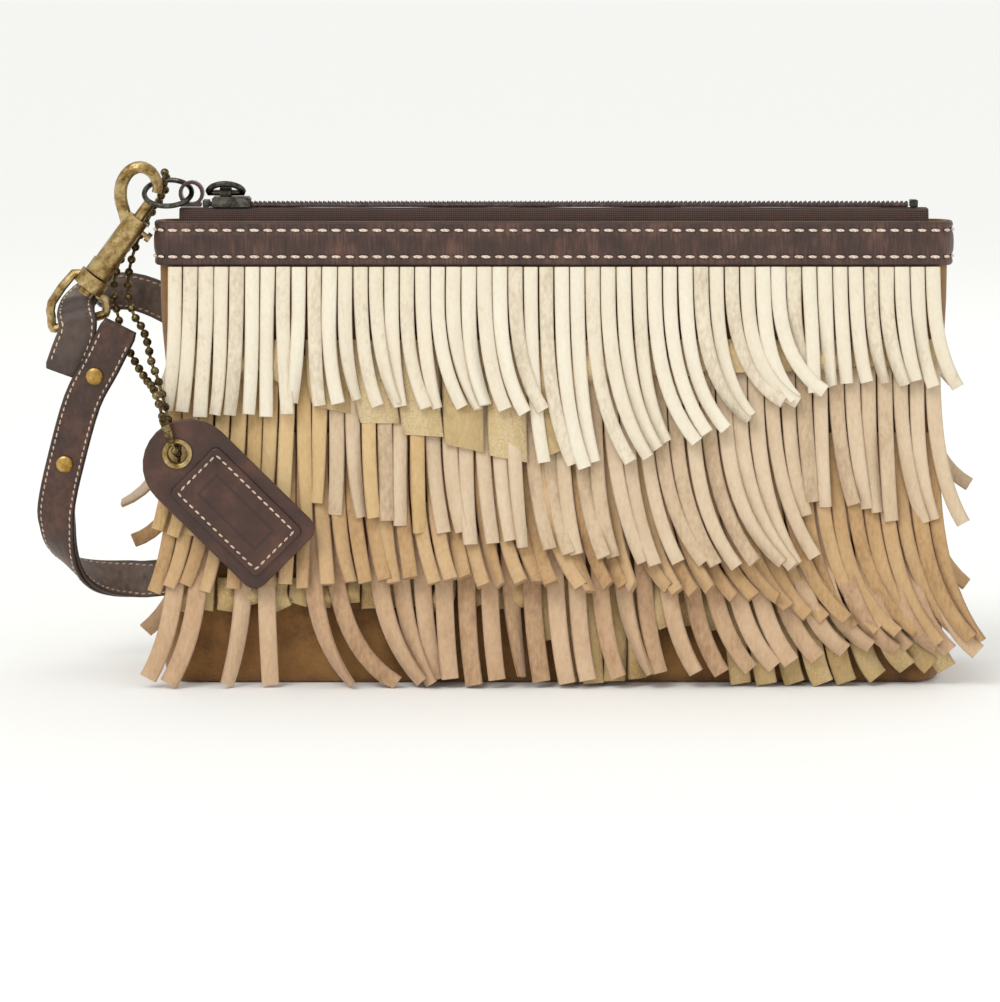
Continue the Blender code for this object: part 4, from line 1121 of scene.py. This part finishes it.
class POUCH_OT_tag(bpy.types.Operator):
    """Leather hang tag with its stitched patch and eyelet"""
    bl_idname = "pouch.tag"
    bl_label = "Hang tag"

    def execute(self, context):
        pitch = context.scene.pouch_stitch.tag_pitch / MM
        board = softened("tag_board", "tag_leather_board", FINISH["tag"], 0.45)
        settle(board, "tag", "leather", "tag_board")
        rings = []
        for inset, out in ((0.0, 1.2), (0.0, 1.5), (0.12, 1.8), (0.4, 1.97), (1.2, 2.0), (1.75, 1.9),
                           (2.3, 2.02)):
            edge = oblong(5.5 + inset, 37.2 - inset, 8.8 - inset, max(1.6 - inset * 0.5, 0.5))
            rings.append([tag_point(x, y, out) for x, y in edge])
        patch = loft("tag_stitched_patch", rings, FINISH["tag_patch"])
        settle(patch, "tag", "leather", "tag_patch")
        path = oblong(7.25, 35.45, 7.05, 0.8)
        path.append(path[0])
        line = [(tag_point(x, y, 1.98), (0, -1, 0)) for x, y in path]
        stitches = beads("tag_stitches", [line], pitch, (1.65, 0.6, 0.5), FINISH["tag_thread"], lean=0.1,
                         uneven=0.06, segments=6)
        settle(stitches, "tag", "leather")
        rings = []
        turns = [2 * math.pi * i / 36 for i in range(36)]
        for radius, out in ((2.5, -1.4), (3.4, -1.5), (3.95, -1.3), (3.95, -1.1), (2.95, -1.05),
                            (2.95, 1.05), (3.95, 1.1), (4.0, 1.3), (3.6, 1.55), (2.9, 1.5),
                            (2.45, 1.25), (2.4, 0.0)):
            rings.append([tag_point(radius * math.cos(a), radius * math.sin(a), out) for a in turns])
        eyelet = loft("tag_eyelet", rings, FINISH["brass"], closed=True)
        settle(eyelet, "tag", "brass", "eyelet")
        return {"FINISHED"}


def strip_points(tier, side, hang, x_top, rng, pitch, wanted):
    """Rings of one cut strip, from its root to its tip."""
    name, top, hem_left, hem_right, top_stand, hem_stand, _ = tier
    tip_z, sweep, curl = blend_rows(hang, x_top)
    ragged = 0.25 if name == "gold" else 1.2
    tip_z = max(tip_z + rng.uniform(-ragged, ragged), 0.9)
    slope = (blend_rows(hang, x_top + 2)[0] - blend_rows(hang, x_top - 2)[0]) / 4 if name == "gold" else 0.0
    slope = max(min(slope, 0.4), -0.4)
    sweep += rng.gauss(0, 0.9 + 0.05 * abs(sweep))
    curl = curl * rng.uniform(0.5, 1.2)
    share = (x_top / 101.0 + 1) / 2
    hem = hem_left + (hem_right - hem_left) * share
    layer = rng.choice((0.0, 0.35, 0.7, 1.05)) + 0.15
    bow = rng.uniform(0.3, 3.0) if name == "rose" else rng.uniform(-0.5, 1.6)
    width = pitch * wanted.cover * rng.uniform(0.92, 1.0) * (0.9 if name == "rose" else 1.0)
    thickness = wanted.thickness / MM
    twist = (rng.gauss(0, 0.16) + 0.012 * sweep) * min(4.2 / width, 1.0) ** 2
    wiggle, phase = rng.uniform(-0.6, 0.6), rng.uniform(0, 6.28)
    length = top - tip_z
    centres = []
    for _ in range(3):
        lean_end = max(min((1 + BEND) * sweep / length, 1.35), -1.35)
        step = length / wanted.steps
        x, z, proud = x_top, top, 0.0
        centres = []
        for i in range(wanted.steps + 1):
            t = i / wanted.steps
            down = min(max((top - z) / (top - hem), 0.0), 1.15)
            stand = top_stand + (hem_stand - top_stand) * down + 0.45
            bulge = bow * math.sin(math.pi * min(max((t - 0.35) / 0.65, 0.0), 1.0))
            lift = layer * min(t * 3, 1.0) + max(bulge, -0.2) + proud
            shift = wiggle * math.sin(phase + 4 * t) * t
            centres.append(Vector((x + shift, side * (half_depth(z) + stand + lift), z)))
            lean = lean_end * t ** BEND
            out_turn = 0.115 * curl * min(max((t - 0.55) / 0.4, 0.0), 1.0) ** 1.3
            x += step * math.sin(lean) * math.cos(out_turn)
            z -= step * math.cos(lean) * math.cos(out_turn)
            proud += step * math.sin(out_turn)
        length *= (top - tip_z) / (top - centres[-1].z)
    rings = []
    for i, centre in enumerate(centres):
        t = i / wanted.steps
        run = (centres[min(i + 1, wanted.steps)] - centres[max(i - 1, 0)]).normalized()
        across = Vector((1, 0, 0)) - run * run.x
        across.normalize()
        out = across.cross(run) * -side
        if out.y * side < 0:
            out = -out
        turn = twist * t * t * 3.0
        across, out = (across * math.cos(turn) + out * math.sin(turn),
                       out * math.cos(turn) - across * math.sin(turn))
        half = width / 2 * (1.0 - 0.06 * t)
        deep = thickness / 2
        edge = 0.3
        section = ((-half, -deep + edge), (-half + edge, -deep), (half - edge, -deep), (half, -deep + edge),
                   (half, deep - edge), (half - edge, deep), (-half + edge, deep), (-half, deep - edge))
        ring = [centre + across * a + out * b + Vector((0, 0, a * slope * t ** 3)) for a, b in section]
        rings.append([Vector((p.x, p.y, max(p.z, 0.1))) for p in ring])
    return rings


def make_tier(context, tier, side, face, number):
    """One cut suede sheet: all its strips in one mesh."""
    wanted = context.scene.pouch_fringe
    name, count = tier[0], tier[-1]
    hang = (FRONT_HANG if side < 0 else BACK_HANG)[name]
    rng = random.Random(SEED * 100 + number * 7 + (side > 0))
    pitch = 202.0 / count
    points, faces, tones, edges = [], [], [], []
    per_strip = wanted.steps * 8 + 2
    for s in range(count):
        x_top = -101.0 + pitch * (s + 0.5)
        rings = strip_points(tier, side, hang, x_top, rng, pitch, wanted)
        if name == "rose" and side < 0 and s in PARTED_STRIPS:
            continue
        base = len(points)
        tone = rng.uniform(0.0, 1.0)
        for ring in rings:
            points += ring
            tones += [tone] * 8
        for i in range(len(rings) - 1):
            for j in range(8):
                k = (j + 1) % 8
                a, b = base + i * 8, base + (i + 1) * 8
                quad = (a + j, b + j, b + k, a + k)
                faces.append(quad if side < 0 else quad[::-1])
                # Painted shade for the suede: a strip's two sides 1, its chamfers 0.35, its flat faces none
                edges.append((0.35, 0.0, 0.35, 1.0)[j % 4])
        # The cut ends get full painted shade
        for cap in (tuple(range(base, base + 8)), tuple(reversed(range(len(points) - 8, len(points))))):
            faces.append(cap if side < 0 else cap[::-1])
            edges.append(1.0)
    obj = new_mesh("cut_fringe_%s_%d" % (face, number), points, faces, FINISH["fringe_" + name])
    bm = bmesh.new()
    bm.from_mesh(obj.data)
    bmesh.ops.recalc_face_normals(bm, faces=bm.faces)
    bm.to_mesh(obj.data)
    bm.free()
    if name == "beige" and side < 0:
        obj.data.materials.append(FINISH["fringe_warm"])
        for quad in obj.data.polygons:
            strip = quad.index // per_strip
            mixed = strip < MIXED_STRIPS and strip % 3 == 0
            quad.material_index = int(strip < HONEY_STRIPS or mixed)
    paint(obj, "tone", "POINT", tones)
    paint(obj, "edge", "FACE", edges)
    obj.data.set_sharp_from_angle(angle=math.radians(50))
    settle(obj, "pouch", "fringe_" + name, "fringe_%s_%d" % (face, number))


class POUCH_OT_fringe(bpy.types.Operator):
    """Six tiers of cut suede fringe on each face"""
    bl_idname = "pouch.fringe"
    bl_label = "Fringe"

    def execute(self, context):
        for side, face in ((-1, "front"), (1, "back")):
            for number, tier in enumerate(TIERS, 1):
                make_tier(context, tier, side, face, number)
        return {"FINISHED"}


STEPS = (POUCH_OT_finishes, POUCH_OT_stage, POUCH_OT_chain, POUCH_OT_body, POUCH_OT_bands, POUCH_OT_zip,
         POUCH_OT_hardware, POUCH_OT_strap, POUCH_OT_tag, POUCH_OT_fringe)


class POUCH_PT_panel(bpy.types.Panel):
    """Lists the steps of the build and their settings"""
    bl_idname = "POUCH_PT_panel"
    bl_label = "Fringed pouch"
    bl_space_type = "VIEW_3D"
    bl_region_type = "UI"
    bl_category = "Pouch"

    def draw(self, context):
        for group, names in (
            (context.scene.pouch_stage, ("lens", "distance", "elevation", "target", "key", "sun", "world")),
            (context.scene.pouch_colour, ("cream", "beige", "camel", "rose", "band")),
            (context.scene.pouch_fringe, ("thickness", "cover", "steps")),
            (context.scene.pouch_stitch, ("band_pitch", "strap_pitch", "tag_pitch")),
            (context.scene.pouch_chain, ("ball", "pitch")),
        ):
            for name in names:
                self.layout.prop(group, name)
        for step in STEPS:
            self.layout.operator(step.bl_idname)


GROUPS = (("pouch_stage", StageSettings), ("pouch_colour", ColourSettings),
          ("pouch_fringe", FringeSettings), ("pouch_stitch", StitchSettings),
          ("pouch_chain", ChainSettings))


def register():
    for name, group in GROUPS:
        bpy.utils.register_class(group)
        setattr(bpy.types.Scene, name, PointerProperty(type=group))
    for kind in (*STEPS, POUCH_PT_panel):
        bpy.utils.register_class(kind)


def unregister():
    for kind in (POUCH_PT_panel, *reversed(STEPS)):
        bpy.utils.unregister_class(kind)
    for name, group in reversed(GROUPS):
        delattr(bpy.types.Scene, name)
        bpy.utils.unregister_class(group)


def main():
    register()
    for step in STEPS:
        group, name = step.bl_idname.split(".")
        getattr(getattr(bpy.ops, group), name)()


if __name__ == "__main__":
    main()
